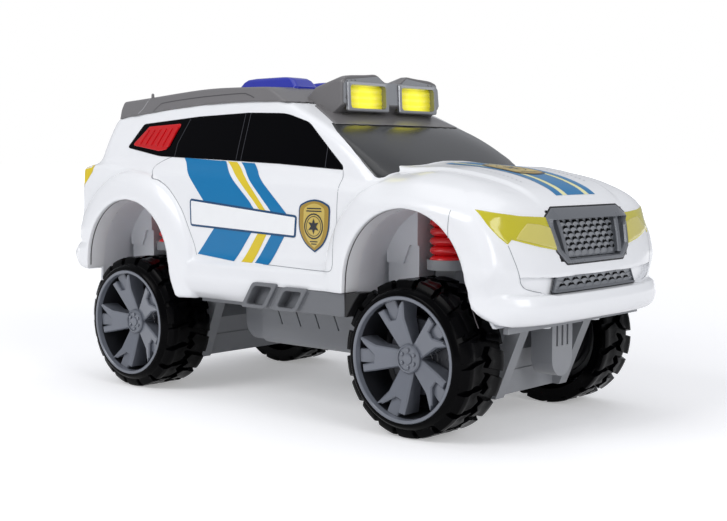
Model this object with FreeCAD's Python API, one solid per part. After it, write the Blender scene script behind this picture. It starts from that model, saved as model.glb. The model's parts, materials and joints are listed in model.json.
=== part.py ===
import FreeCAD, Part
import math
import os

# Toy police off-road car: +X forwards, +Y to its left, +Z up, origin on the floor under the middle.

# Overall sizes of the car
body_length = 330.0
body_width = 151.6
half_length = body_length / 2
half_width = body_width / 2
wheelbase = 204.0
front_overhang = 65.5
front_axle_x = half_length - front_overhang
rear_axle_x = front_axle_x - wheelbase
axle_height = 37.5
belt_height = 128.0
sill_height = 55.0
wall = 2.2
seam = 0.25
tail_foot_x = -0.43 * body_length
tail_floor_z = 66.0
overrun = 5.0

# Wheels and axles
tyre_radius = 37.5
tyre_width = 28.0
tyre_outer_y = 73.4
tread_depth = 2.4
lug_count = 18
lug_gap_deg = 5.0
rim_radius = 30.0
rim_lip = 1.9
rim_face_y = 75.7
rim_barrel_wall = 1.6
rim_barrel_depth = 22.0
spoke_count = 5
spoke_inset = 3.0
spoke_thickness = 3.2
spoke_root_width = 9.0
spoke_waist_width = 7.0
spoke_fork_width = 17.0
spoke_fork_gap = 7.0
hub_radius = 7.2
hub_length = 26.0
hub_cap_height = 2.0
hub_bolt_count = 6
hub_bolt_radius = 0.9
hub_bolt_circle = 4.6
disc_radius = 18.0
disc_thickness = 2.0
disc_inset = 14.0
axle_rod_radius = 2.0
axle_rod_end = 1.0
axle_bore_clearance = 0.05

# Body shell of the car, as heights and half widths
crown_drop = 1.2
shoulder_drop = 9.0
greenhouse_length = 0.745 * body_length
greenhouse_front_x = 0.273 * body_length
greenhouse_base_z = 120.0
greenhouse_height = 43.0
greenhouse_half_width = 0.432 * body_width

# Wheel arches
arch_radius = 37.2
arch_centre_z = 71.0
arch_front_spread = 6.5
arch_rear_spread = 1.0
flare_reach = 17.0
flare_root_y = 0.422 * body_width
flare_lip = 1.2
liner_wall = 1.8
liner_inner_y = flare_root_y - 33.0
tower_width = 19.5
tower_reach = 12.5
tower_gap = 6.4
hood_reach = 1.4
hood_low_z = 79.5
hood_notch_z = 88.5
hood_notch_width = 5.0
hood_slant = 4.0

# Suspension
spring_y = 40.5
spring_radius = 8.6
spring_core_radius = 5.6
spring_coils = 6
spring_foot_z = 80.0
cup_radius = 9.8
cup_floor = 2.4
arm_reach = 42.0
arm_width = 12.0

# Chassis under the shell
plate_thickness = 3.0
plate_under_z = sill_height - plate_thickness
tub_half_width = 38.0
tub_front_x = 62.0
tub_rear_x = -32.0
tub_floor_z = 29.0
tub_corner = 4.0
tub_end_length = 16.0
tub_end_set_in = 3.0
tub_end_radius = 9.0
tub_slot_x = -21.0
tub_slot_pitch = 14.0
tub_slot_top_z = 50.5
tub_slot_height = 10.0
tub_slot_width = 1.0
tub_slot_lean = 4.5
tub_slot_depth = 1.2
lid_length = 62.0
lid_width = 52.0
lid_thickness = 1.6
lid_gap = 0.3
housing_half_width = 30.0
housing_length = 44.0
housing_top_z = 51.0
housing_floor_z = 20.0
strut_width = 7.0
strut_thickness = 8.0
strut_foot_z = 15.5
front_strut_y = 28.0
rear_strut_y = 36.0
strut_run = 34.0
tongue_x = 133.2
tongue_length = 12.0
tongue_width = 18.0
tongue_floor_z = 25.0
tongue_slot_width = 1.6
tongue_slot_pitch = 4.6
tongue_slot_height = 12.0
tongue_slot_depth = 2.0

# Roof
roof_rail_foot_y = greenhouse_half_width - 9.1
roof_rail_top_y = roof_rail_foot_y - 6.4
roof_rise = 7.5
beacon_length = 48.0
beacon_width = 19.0
beacon_height = 7.0
beacon_rear_x = -0.17 * body_length
beacon_y = 0.38 * greenhouse_half_width
beacon_slope = 8.0
beacon_sink = 1.5
pod_face_x = greenhouse_front_x - 60.0
pod_length = 24.0
pod_half_width = 41.0
pod_base_z = greenhouse_base_z + greenhouse_height - 10.0
pod_height = 18.0
pod_hump = 3.5
pod_hump_y = 12.0
pod_dip = 1.5
pod_dip_y = 7.0
pod_corner = 4.0
pod_corner_drop = 1.0
pod_spread = 1.5
pod_lean = 0.8
pod_lamp_width = 32.5
pod_lamp_height = 16.0
pod_lamp_gap = 8.5
pod_bezel = 2.2
pod_recess = 3.0
pod_lens_thickness = 1.8

# Lamps, grilles and side steps
lamp_thickness = 2.0
lamp_rib_count = 6
lamp_rib_width = 2.2
lamp_rib_pitch = 5.1
lamp_rib_rear_x = -109.0
lamp_rib_low_z = 139.2
lamp_rib_height = 8.2
lamp_rib_lean = 6.5
lamp_rib_proud = 0.7
lamp_rib_rise = 0.6
grille_depth = 4.0
grille_post_y = 23.2
grille_post_width = 2.6
grille_frame = 3.0
grille_back = 1.4
grille_proud = 1.0
lower_grille_frame = 0.9
lower_grille_sink = 0.7
bumper_recess = 1.3
step_front_x = front_axle_x - 36.0
step_length = 72.5
step_rear_x = step_front_x - step_length
step_top_z = 66.0
step_floor_z = 52.5
step_out_y = half_width - 1.8
step_depth = 12.6
step_lean = 8.4
scoop_length = 17.6
scoop_pitch = 20.0
scoop_rear_gap = 0.8
scoop_proud = 1.3
scoop_rim = 2.4
scoop_depth = 2.6
scoop_corner = 2.0
gusset_length = 9.0
glass_thickness = 1.6

# Windows in side, front and rear view
window_rear_x = -0.376 * body_length
window_length = 0.533 * body_length
window_low_z = 126.2
window_height = 29.3
screen_low_z = 124.5
screen_high_z = 149.5
screen_low_y = 59.5
screen_high_y = 51.5
rear_glass_low_z = 137.0
rear_glass_high_z = 151.0
rear_glass_low_y = 50.0
rear_glass_high_y = 43.0

V = FreeCAD.Vector
AXIS_Y = V(0, 1, 0)


# Ways of making shapes


def side_place(a, b):
    return V(a, 0, b)


def plan_place(a, b):
    return V(a, b, 0)


def front_place(a, b):
    return V(0, a, b)


def outline(segments, place):
    """Closed wire of straight stretches (two points) and smooth curves (more points)."""
    edges = []
    for points in segments:
        spots = [place(a, b) for a, b in points]
        if len(spots) == 2:
            edges.append(Part.LineSegment(spots[0], spots[1]).toShape())
        else:
            curve = Part.BSplineCurve()
            curve.interpolate(spots)
            edges.append(curve.toShape())
    return Part.Wire(edges)


def prism(segments, place, sweep, start=None):
    solid = Part.Face(outline(segments, place)).extrude(sweep)
    if start is not None:
        solid.translate(start)
    return solid


def polygon(points):
    """Straight segments that join the points and close."""
    return [[points[i], points[(i + 1) % len(points)]] for i in range(len(points))]


def block(x0, x1, y0, y1, z0, z1):
    return Part.makeBox(x1 - x0, y1 - y0, z1 - z0, V(x0, y0, z0))


def across(segments, reach):
    """Side outline pulled through the car from one side to the other."""
    return prism(segments, side_place, V(0, 2 * reach, 0), V(0, -reach, 0))


def mirrored(shape):
    return shape.mirror(V(0, 0, 0), AXIS_Y)


def inset_points(points, inset, outward=1):
    """Points of a closed loop moved square to their neighbours by the inset."""
    moved = []
    count = len(points)
    for i in range(count):
        before = points[(i - 1) % count]
        after = points[(i + 1) % count]
        along = (after[0] - before[0], after[1] - before[1])
        length = math.hypot(along[0], along[1])
        moved.append((points[i][0] - outward * inset * along[1] / length,
                      points[i][1] + outward * inset * along[0] / length))
    return moved


def inset_segments(segments, inset):
    """A closed loop of segments, drawn anticlockwise, made smaller by the inset."""
    loop = []
    for points in segments:
        loop.extend(points[:-1])
    moved = inset_points(loop, inset)
    result = []
    start = 0
    for points in segments:
        stretch = [moved[(start + i) % len(moved)] for i in range(len(points))]
        result.append(stretch)
        start += len(points) - 1
    return result


def scaled(shares, x0, x_size, z0, z_size):
    return [(x0 + x_size * a, z0 + z_size * b) for a, b in shares]


def save(name, shape):
    shape.exportStep("parts/" + name + ".step")


# Outlines of the body, as shares of its length from the tail and of the belt height
nose_shares = [(0.985, 0.430), (0.998, 0.470), (1.000, 0.515), (0.997, 0.550), (0.990, 0.594),
               (0.981, 0.641), (0.971, 0.719), (0.961, 0.812), (0.955, 0.850), (0.942, 0.888)]
bonnet_shares = [(0.942, 0.888), (0.915, 0.921), (0.862, 0.963), (0.808, 0.986), (0.752, 1.000),
                 (0.700, 1.010), (0.600, 1.022), (0.400, 1.044), (0.200, 1.062), (0.120, 1.060),
                 (0.066, 1.054)]
tail_shares = [(0.066, 1.054), (0.038, 1.026), (0.027, 0.990), (0.022, 0.935), (0.020, 0.860), (0.019, 0.770),
               (0.010, 0.710), (0.001, 0.640), (0.000, 0.560), (0.010, 0.480), (0.030, 0.430)]

# Half plan of the body from the nose to the tail, as shares of half the length and half the width
plan_shares = [(1.000, 0.000), (0.998, 0.300), (0.988, 0.600), (0.965, 0.780), (0.925, 0.893),
               (0.876, 0.960), (0.820, 0.995), (0.700, 1.005), (0.000, 1.005), (-0.800, 1.005),
               (-0.880, 0.998), (-0.945, 0.955), (-0.982, 0.870), (-0.996, 0.600), (-1.000, 0.000)]

# Half section of the lower body, as shares of half the width and of the belt height
section_shares = [(0.850, 0.400), (0.895, 0.430), (0.935, 0.455), (0.963, 0.486), (0.971, 0.523),
                  (0.963, 0.559), (0.941, 0.586), (0.928, 0.609), (0.926, 0.641), (0.931, 0.703),
                  (0.926, 0.828), (0.905, 0.930), (0.871, 1.000), (0.840, 1.080)]


def lower_body(inset):
    """Everything below the belt, before the arches: nose, bonnet, sides and tail."""
    tail_x = -half_length
    nose = scaled(nose_shares, tail_x, body_length, 0, belt_height)
    bonnet = scaled(bonnet_shares, tail_x, body_length, 0, belt_height)
    tail = scaled(tail_shares, tail_x, body_length, 0, belt_height)
    side = inset_segments([nose, bonnet, tail, [tail[-1], nose[0]]], inset)
    half = scaled(section_shares, 0, half_width, 0, belt_height)
    other = [(-y, z) for y, z in reversed(half)]
    section = inset_segments([half, [half[-1], other[0]], other, [other[-1], half[0]]], inset)
    right = scaled(plan_shares, 0, half_length, 0, -half_width)
    left = [(x, -y) for x, y in reversed(right)]
    plan = inset_segments([right[::-1], left[::-1]], inset)
    form = across(side, body_width)
    form = form.common(prism(section, front_place, V(2 * body_length, 0, 0), V(-body_length, 0, 0)))
    form = form.common(prism(plan, plan_place, V(0, 0, 2 * belt_height)))
    return form.cut(bonnet_cutter(bonnet, inset))


# Places across the bonnet where its crown is set, and where its shoulder starts, as shares of half the width
crown_shares = [-1.1, -0.93, -0.86, -0.75, -0.5, 0, 0.5, 0.75, 0.86, 0.93, 1.1]
shoulder_start_share = 0.6
shoulder_width_share = 0.33


def bonnet_cutter(bonnet, inset):
    """Solid above the crowned top of the lower body, that rounds its shoulders."""
    grid = []
    first = (bonnet[0][0] + 2 * overrun, bonnet[0][1] - overrun)
    last = (bonnet[-1][0] - 2 * overrun, bonnet[-1][1] - 2 * overrun)
    for x, z in [first] + bonnet + [last]:
        row = []
        for share in crown_shares:
            edge = max(abs(share) - shoulder_start_share, 0) / shoulder_width_share
            drop = crown_drop * share * share + shoulder_drop * edge ** 2.5
            row.append(V(x, share * half_width, z - drop - inset))
        grid.append(row)
    surface = Part.BSplineSurface()
    surface.interpolate(grid)
    return surface.toShape().extrude(V(0, 0, belt_height))


# Greenhouse outlines, as shares of its length from its tail, its height and its half width
glasshouse_front_shares = [(0.985, 0.000), (0.905, 0.344), (0.780, 0.705)]
glasshouse_roof_shares = [(0.780, 0.705), (0.748, 0.844), (0.724, 0.902), (0.667, 0.965), (0.543, 0.988),
                          (0.380, 0.972), (0.244, 0.914), (0.171, 0.874), (0.114, 0.837), (0.075, 0.802)]
glasshouse_tail_shares = [(0.075, 0.802), (0.050, 0.667), (0.022, 0.344), (0.000, 0.000)]
glasshouse_section_shares = [(1.000, -0.047), (0.960, 0.279), (0.911, 0.605), (0.879, 0.814),
                             (0.858, 0.953), (0.847, 1.000), (0.800, 1.030)]
glasshouse_plan_shares = [(1.000, 0.000), (0.975, 0.480), (0.930, 0.830), (0.870, 0.985), (0.760, 1.030),
                          (0.400, 1.030), (0.100, 1.030), (0.035, 0.960), (0.005, 0.700), (0.000, 0.000)]


def greenhouse(inset):
    """Upper body that carries the windows, before the roof moulding."""
    tail_x = greenhouse_front_x - greenhouse_length
    length = greenhouse_length
    front = scaled(glasshouse_front_shares, tail_x, length, greenhouse_base_z, greenhouse_height)
    roof = scaled(glasshouse_roof_shares, tail_x, length, greenhouse_base_z, greenhouse_height)
    tail = scaled(glasshouse_tail_shares, tail_x, length, greenhouse_base_z, greenhouse_height)
    side = inset_segments([front, roof, tail, [tail[-1], front[0]]], inset)
    half = scaled(glasshouse_section_shares, 0, greenhouse_half_width, greenhouse_base_z, greenhouse_height)
    other = [(-y, z) for y, z in reversed(half)]
    section = inset_segments([half, [half[-1], other[0]], other, [other[-1], half[0]]], inset)
    right = scaled(glasshouse_plan_shares, tail_x, length, 0, -greenhouse_half_width)
    left = [(x, -y) for x, y in reversed(right)]
    plan = inset_segments([right[::-1], left[::-1]], inset)
    form = across(side, body_width)
    form = form.common(prism(section, front_place, V(2 * body_length, 0, 0), V(-body_length, 0, 0)))
    return form.common(prism(plan, plan_place, V(0, 0, 2 * belt_height)))


# Wheel arches


def arch_outline(axle_x, extra, front_spread, rear_spread, low_z):
    """Round arch whose legs spread a little towards the sill."""
    radius = arch_radius + extra
    arc = [(axle_x + radius * math.cos(math.radians(a)),
            arch_centre_z + radius * math.sin(math.radians(a))) for a in range(0, 181, 30)]
    knee_z = (sill_height + arch_centre_z) / 2
    front_foot = (axle_x + radius + front_spread, sill_height)
    rear_foot = (axle_x - radius - rear_spread, sill_height)
    front_leg = [front_foot, (axle_x + radius + front_spread * 0.3, knee_z), arc[0]]
    rear_leg = [arc[-1], (axle_x - radius - rear_spread * 0.3, knee_z), rear_foot]
    if low_z == sill_height:
        return [front_leg, arc, rear_leg, [rear_foot, front_foot]]
    front_low = (front_foot[0], low_z)
    rear_low = (rear_foot[0], low_z)
    return [front_leg, arc, rear_leg, [rear_foot, rear_low], [rear_low, front_low], [front_low, front_foot]]


def arch_hole(axle_x, extra, low_z, y0, y1):
    segments = arch_outline(axle_x, extra, arch_front_spread, arch_rear_spread, low_z)
    return prism(segments, side_place, V(0, y1 - y0, 0), V(0, y0, 0))


def flare(axle_x):
    """Bulging ring of the wing round the right-hand arch."""
    lip_y = half_width
    root = arch_radius + flare_reach
    profile = [[(root, flare_root_y), (root - flare_reach * 0.12, flare_root_y + 4.0 * flare_lip),
                (root - flare_reach * 0.45, lip_y - 1.6 * flare_lip), (arch_radius + flare_lip, lip_y)],
               [(arch_radius + flare_lip, lip_y), (arch_radius - overrun, lip_y)],
               [(arch_radius - overrun, lip_y), (arch_radius - overrun, flare_root_y - overrun)],
               [(arch_radius - overrun, flare_root_y - overrun), (root, flare_root_y - overrun)],
               [(root, flare_root_y - overrun), (root, flare_root_y)]]
    face = Part.Face(outline(profile, lambda r, y: V(axle_x + r, -y, arch_centre_z)))
    ring = face.revolve(V(axle_x, 0, arch_centre_z), AXIS_Y, 360)
    legs = Part.Face(outline(profile, lambda r, y: V(axle_x + r, -y, sill_height)))
    ring = ring.cut(block(axle_x - body_length, axle_x + body_length, -body_width, 0, 0, arch_centre_z))
    front_leg = legs.extrude(V(0, 0, arch_centre_z - sill_height))
    rear_leg = front_leg.mirror(V(axle_x, 0, 0), V(1, 0, 0))
    return ring.fuse([front_leg, rear_leg])


# Side window as shares of its length from its rear and of its height from its lowest point
window_low_shares = [(1.000, 0.000), (0.780, 0.060), (0.480, 0.170), (0.200, 0.280), (0.090, 0.370), (0.000, 0.480)]
window_back_shares = [(0.000, 0.480), (0.070, 0.780), (0.120, 0.860)]
window_top_shares = [(0.120, 0.860), (0.300, 0.950), (0.520, 1.000), (0.700, 0.975), (0.800, 0.900),
                     (0.860, 0.760)]


def window_segments(inset):
    low = scaled(window_low_shares, window_rear_x, window_length, window_low_z, window_height)
    back = scaled(window_back_shares, window_rear_x, window_length, window_low_z, window_height)
    top = scaled(window_top_shares, window_rear_x, window_length, window_low_z, window_height)
    loop = [low[::-1], [low[0], top[-1]], top[::-1], back[::-1]]
    return inset_segments(loop, inset)


lamp_shares = [(0.045, 0.500), (0.125, 0.800), (0.300, 0.890), (0.215, 0.400)]


def tail_lamp_segments(inset):
    points = scaled(lamp_shares, window_rear_x, window_length, window_low_z, window_height)
    return inset_segments(polygon(points[::-1]), inset)


def lamp_ribs(lamp_form, inner):
    """Slanted ribs that stand proud of the tail lamp."""
    raised = lamp_form.copy()
    raised.translate(V(0, -lamp_rib_proud, 0))
    room = side_cutter(tail_lamp_segments(2 * seam))
    ribs = []
    for i in range(lamp_rib_count):
        x = lamp_rib_rear_x + i * lamp_rib_pitch
        low_z = lamp_rib_low_z - i * lamp_rib_rise / 2
        high_z = lamp_rib_low_z + lamp_rib_height + i * lamp_rib_rise / 2
        points = [(x, low_z), (x + lamp_rib_width, low_z), (x + lamp_rib_width + lamp_rib_lean, high_z),
                  (x + lamp_rib_lean, high_z)]
        ribs.append(raised.common(side_cutter(polygon(points))).common(room).cut(inner))
    return ribs


def pane_outline(low_z, high_z, low_y, high_y, inset):
    points = [(low_y - inset, low_z + inset), (high_y - inset, high_z - inset),
              (-high_y + inset, high_z - inset), (-low_y + inset, low_z + inset)]
    return polygon(points)


def make_body():
    """Moulded shell before its lamp, grille and window openings are cut."""
    outer_low = lower_body(0)
    flares = [flare(front_axle_x), flare(rear_axle_x)]
    flares = flares + [mirrored(one) for one in flares]
    right = scaled(plan_shares, 0, half_length, 0, -half_width)
    left = [(x, -y) for x, y in reversed(right)]
    plan = prism([right, left], plan_place, V(0, 0, 2 * belt_height))
    bonnet = scaled(bonnet_shares, -half_length, body_length, 0, belt_height)
    keep = plan.cut(bonnet_cutter(bonnet, 0))
    flares = [one.common(keep) for one in flares]
    outer = outer_low.fuse(flares).fuse(greenhouse(0))
    inner = lower_body(wall).fuse(greenhouse(wall))
    inner = inner.fuse(block(-half_length + 12 * wall, half_length - 12 * wall,
                             -half_width + 6 * wall, half_width - 6 * wall, 0, sill_height + 4 * wall))
    shell = outer.cut(inner)
    shell = shell.cut(block(-body_length, body_length, -body_width, body_width, 0, sill_height))
    tail_rise = [(-body_length, tail_floor_z), (-body_length, 0),
                 (rear_axle_x, 0), (rear_axle_x, sill_height), (tail_foot_x, sill_height),
                 (tail_foot_x, tail_floor_z)]
    shell = shell.cut(across(polygon(tail_rise), body_width))
    for axle_x in (front_axle_x, rear_axle_x):
        shell = shell.cut(arch_hole(axle_x, 0, 0, -body_width, -liner_inner_y))
        shell = shell.cut(arch_hole(axle_x, 0, 0, liner_inner_y, body_width))
        rebate = arch_hole(axle_x, liner_wall, 0, -flare_root_y, flare_root_y)
        shell = shell.cut(rebate)
    return shell


def skin(form, cutter, shift):
    """Stretch of the form's skin inside the cutter, as thick as the shift."""
    inner = form.copy()
    inner.translate(shift)
    return form.common(cutter).cut(inner)


def side_cutter(segments):
    return prism(segments, side_place, V(0, -body_width, 0))


def front_cutter(segments, start_x=0):
    return prism(segments, front_place, V(body_length, 0, 0), V(start_x, 0, 0))


def rear_cutter(segments):
    return prism(segments, front_place, V(-body_length, 0, 0))


def screen_segments(inset):
    return pane_outline(screen_low_z, screen_high_z, screen_low_y, screen_high_y, inset)


def rear_segments(inset):
    return pane_outline(rear_glass_low_z, rear_glass_high_z, rear_glass_low_y, rear_glass_high_y, inset)


# Right-hand headlamp in front view (shares of half the width and of the belt) and in side view
headlamp_front_shares = [(-0.417, 0.695), (-0.778, 0.742), (-0.818, 0.715), (-1.055, 0.715), (-1.055, 0.852),
                         (-0.462, 0.816)]
headlamp_side_shares = [(0.815, 0.848), (0.912, 0.711), (1.030, 0.664), (1.030, 0.875)]

# Openings of the nose in front view, as shares of half the width and of the belt
grille_shares = [(-0.385, 0.844), (-0.471, 0.812), (-0.422, 0.691), (-0.331, 0.645),
                 (0.331, 0.645), (0.422, 0.691), (0.471, 0.812), (0.385, 0.844)]
lower_grille_shares = [(-0.442, 0.605), (-0.488, 0.545), (0.488, 0.545), (0.442, 0.605)]
recess_shares = [(-0.726, 0.608), (-0.686, 0.541), (0.686, 0.541), (0.726, 0.608)]


def nose_points(shares):
    return scaled(shares, 0, half_width, 0, belt_height)


def headlamp_cutter(inset):
    front = front_cutter(inset_segments(polygon(nose_points(headlamp_front_shares)), -inset))
    side_points = scaled(headlamp_side_shares, 0, half_length, 0, belt_height)
    return front.common(side_cutter(inset_segments(polygon(side_points), inset)))


def grille_piece(shares, form, frame, proud):
    """Frame that stands proud of the nose, with a recessed panel behind its mesh."""
    points = nose_points(shares)
    outer = front_cutter(inset_segments(polygon(points), seam))
    opening = front_cutter(inset_segments(polygon(points), frame))
    lifted = form.copy()
    lifted.translate(V(proud, 0, 0))
    back = form.copy()
    back.translate(V(-grille_depth, 0, 0))
    full = lifted.common(outer).cut(back)
    floor = form.copy()
    floor.translate(V(-grille_depth + grille_back, 0, 0))
    pit = lifted.common(opening).cut(floor)
    return full.cut(pit)


def grille_posts(form):
    """Two upright posts of the nose grille, level with the nose."""
    back = form.copy()
    back.translate(V(-grille_depth + grille_back, 0, 0))
    inside = front_cutter(inset_segments(polygon(nose_points(grille_shares)), grille_frame / 2))
    posts = []
    for side in (-1, 1):
        y0 = side * grille_post_y - grille_post_width / 2
        slab = block(0, body_length, y0, y0 + grille_post_width, 0, belt_height)
        posts.append(form.common(slab).common(inside).cut(back))
    return posts


def make_beacon():
    """Right-hand beacon: low bar with sloping ends and sides."""
    base_z = greenhouse_base_z + greenhouse_height + roof_rise - beacon_sink
    x0 = beacon_rear_x
    x1 = x0 + beacon_length
    y0 = -beacon_y - beacon_width / 2
    y1 = y0 + beacon_width
    foot = Part.makePolygon([V(x0, y0, base_z), V(x1, y0, base_z), V(x1, y1, base_z), V(x0, y1, base_z),
                             V(x0, y0, base_z)])
    slope = beacon_slope
    side = beacon_slope / 3
    top_z = base_z + beacon_height + beacon_sink
    top = Part.makePolygon([V(x0 + slope, y0 + side, top_z), V(x1 - slope, y0 + side, top_z),
                            V(x1 - slope, y1 - side, top_z), V(x0 + slope, y1 - side, top_z),
                            V(x0 + slope, y0 + side, top_z)])
    return Part.makeLoft([foot, top], True)


def pod_side_points():
    rear_x = pod_face_x - pod_length
    return [(pod_face_x + 2 * pod_lean, pod_base_z), (pod_face_x, pod_base_z + pod_height + pod_hump),
            (pod_face_x - pod_length * 0.25, pod_base_z + pod_height + pod_hump),
            (rear_x, pod_base_z + pod_height * 0.72), (rear_x - pod_length * 0.3, pod_base_z)]


def make_pod():
    """Housing of the two roof lamps, with a dip between its humps."""
    half = pod_half_width
    top = pod_base_z + pod_height
    right = [(-half - pod_spread, pod_base_z), (-half, top - pod_corner_drop), (-half + pod_corner, top),
             (-pod_hump_y, top + pod_hump), (-pod_dip_y, top - pod_dip)]
    front = right + [(-y, z) for y, z in reversed(right)]
    form = across(polygon(pod_side_points()[::-1]), half + overrun)
    return form.common(prism(polygon(front), front_place, V(2 * body_length, 0, 0), V(-body_length, 0, 0)))


def pod_lamp_points(inset):
    """Right-hand roof lamp in front view: a box with cut corners."""
    y1 = -pod_lamp_gap / 2 - inset
    y0 = -pod_lamp_gap / 2 - pod_lamp_width + inset
    z0 = pod_base_z + (pod_height - pod_lamp_height) / 2 + inset
    z1 = z0 + pod_lamp_height - 2 * inset
    cut = pod_bezel
    return [(y0 + cut, z0), (y1 - cut, z0), (y1, z0 + cut), (y1, z1 - cut), (y1 - cut, z1), (y0 + cut, z1),
            (y0, z1 - cut), (y0, z0 + cut)]


def lamp_slab(inset, x0, x1):
    return prism(polygon(pod_lamp_points(inset)), front_place, V(x1 - x0, 0, 0), V(x0, 0, 0))


def step_blank():
    outline_points = [(step_rear_x, step_floor_z), (step_front_x, step_floor_z),
                      (step_front_x - step_lean, step_top_z), (step_rear_x + step_lean, step_top_z)]
    return prism(polygon(outline_points), side_place, V(0, step_depth, 0), V(0, -step_out_y, 0))


def slanted(x, length, z0, z1):
    """Side outline of a slanted four-sided patch of the step, between two heights."""
    lean = step_lean / (step_top_z - step_floor_z)
    low = x + lean * (z0 - step_floor_z)
    high = x + lean * (z1 - step_floor_z)
    return [(low, z0), (low + length, z0), (high + length, z1), (high, z1)]


def make_step():
    """Right-hand side step: lower trim of the sill with two slanted scoops, a gusset and a plain panel."""
    face_y = -step_out_y + scoop_proud
    step = step_blank().cut(block(step_rear_x, step_front_x, -body_width, face_y, 0, belt_height))
    blank = step_blank()
    for i in range(2):
        x = step_rear_x + scoop_rear_gap + i * scoop_pitch
        rim = prism(polygon(slanted(x, scoop_length, step_floor_z, step_top_z)), side_place,
                    V(0, scoop_proud + seam, 0), V(0, -step_out_y, 0))
        upright = [edge for edge in rim.Edges if edge.BoundBox.YLength > scoop_proud]
        step = step.fuse(rim.makeFillet(scoop_corner, upright).common(blank))
    last_x = step_rear_x + scoop_rear_gap + scoop_pitch + scoop_length
    ramp = [(last_x, face_y), (last_x, -step_out_y), (last_x + gusset_length, face_y)]
    gusset = prism(polygon(ramp), plan_place, V(0, 0, scoop_length), V(0, 0, step_floor_z))
    step = step.fuse(gusset.common(blank))
    for i in range(2):
        x = step_rear_x + scoop_rear_gap + i * scoop_pitch + scoop_rim
        pocket = prism(polygon(slanted(x, scoop_length - 2 * scoop_rim, step_floor_z + scoop_rim,
                                       step_top_z - scoop_rim)),
                       side_place, V(0, 2 * scoop_depth, 0), V(0, -step_out_y - scoop_depth, 0))
        step = step.cut(pocket)
    return step


def make_wheel_rim():
    """Rim on the Y axis with its face at y = 0 and its depth towards +Y."""
    outer = rim_radius
    profile = polygon([(outer - rim_lip, 0), (outer, 0), (outer, rim_barrel_depth),
                       (outer - rim_barrel_wall, rim_barrel_depth), (outer - rim_barrel_wall, rim_lip)])
    ring = Part.Face(outline(profile, lambda r, y: V(r, y, 0))).revolve(V(0, 0, 0), AXIS_Y, 360)
    hub = Part.makeCylinder(hub_radius, hub_length, V(0, spoke_inset, 0), AXIS_Y)
    cap = Part.makeCone(hub_radius * 0.8, hub_radius * 0.9, hub_cap_height,
                        V(0, spoke_inset - hub_cap_height, 0), AXIS_Y)
    parts = [hub, cap]
    reach = outer - rim_barrel_wall / 2
    split = 0.58 * reach
    for i in range(spoke_count):
        arm_points = [(0, -spoke_root_width / 2), (split, -spoke_waist_width / 2), (reach, -spoke_fork_width / 2),
                      (reach, -spoke_fork_gap / 2), (split + spoke_thickness, 0), (reach, spoke_fork_gap / 2),
                      (reach, spoke_fork_width / 2), (split, spoke_waist_width / 2), (0, spoke_root_width / 2)]
        arm = prism(polygon(arm_points), side_place, V(0, spoke_thickness, 0), V(0, spoke_inset, 0))
        arm.rotate(V(0, 0, 0), AXIS_Y, 180 + 360 / spoke_count * i)
        parts.append(arm)
    for i in range(hub_bolt_count):
        angle = 2 * math.pi * i / hub_bolt_count
        spot = V(hub_bolt_circle * math.cos(angle), spoke_inset - hub_cap_height - hub_bolt_radius / 2,
                 hub_bolt_circle * math.sin(angle))
        parts.append(Part.makeCylinder(hub_bolt_radius, 2 * hub_bolt_radius, spot, AXIS_Y))
    rim = ring.fuse(parts)
    rim = rim.common(Part.makeCylinder(outer, 2 * hub_length, V(0, -overrun, 0), AXIS_Y))
    bore = Part.makeCylinder(axle_rod_radius, hub_length, V(0, spoke_inset + 2 * spoke_thickness, 0), AXIS_Y)
    return rim.cut(bore).removeSplitter()


def make_tyre():
    """Lugged tyre on the Y axis with its outer shoulder at y = 0 and its width towards +Y."""
    base = tyre_radius - tread_depth
    bulge = rim_face_y - tyre_outer_y
    shoulder = tyre_width * 0.14
    profile = [[(rim_radius, -bulge), (rim_radius + rim_lip / 2, -bulge)],
               [(rim_radius + rim_lip / 2, -bulge), (base - tread_depth * 0.6, -bulge * 0.3), (base, shoulder)],
               [(base, shoulder), (base, tyre_width - shoulder)],
               [(base, tyre_width - shoulder), (rim_radius + rim_lip / 2, tyre_width)],
               [(rim_radius + rim_lip / 2, tyre_width), (rim_radius, tyre_width)],
               [(rim_radius, tyre_width), (rim_radius, -bulge)]]
    tyre = Part.Face(outline(profile, lambda r, y: V(r, y, 0))).revolve(V(0, 0, 0), AXIS_Y, 360)
    pitch = 360 / lug_count
    lugs = []
    for side in (0, 1):
        for i in range(lug_count):
            half_turn = math.radians(pitch - lug_gap_deg) / 2
            inner = base - tread_depth * 0.4
            chord = tyre_radius * math.cos(half_turn * 0.7)
            y0 = 0 if side == 0 else tyre_width / 2 + shoulder * 0.12
            y1 = tyre_width / 2 - shoulder * 0.12 if side == 0 else tyre_width
            lug_points = [(inner, -inner * math.sin(half_turn)), (chord, -tyre_radius * math.sin(half_turn * 0.7)),
                          (tyre_radius, 0), (chord, tyre_radius * math.sin(half_turn * 0.7)),
                          (inner, inner * math.sin(half_turn))]
            lug = prism(polygon(lug_points), side_place, V(0, y1 - y0, 0), V(0, y0, 0))
            lug.rotate(V(0, 0, 0), AXIS_Y, pitch * (i + side / 2))
            lugs.append(lug)
    return tyre.fuse(lugs)


def make_disc():
    ring = Part.makeCylinder(disc_radius, disc_thickness, V(0, disc_inset, 0), AXIS_Y)
    return ring.cut(Part.makeCylinder(hub_radius, 2 * disc_thickness, V(0, disc_inset - disc_thickness, 0), AXIS_Y))


def place_wheel(shape, axle_x, face_y, side):
    """Put a wheel piece with its face at -face_y, or on the other side."""
    placed = shape.copy()
    placed.translate(V(axle_x, -face_y, axle_height))
    return placed if side < 0 else mirrored(placed)


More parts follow.
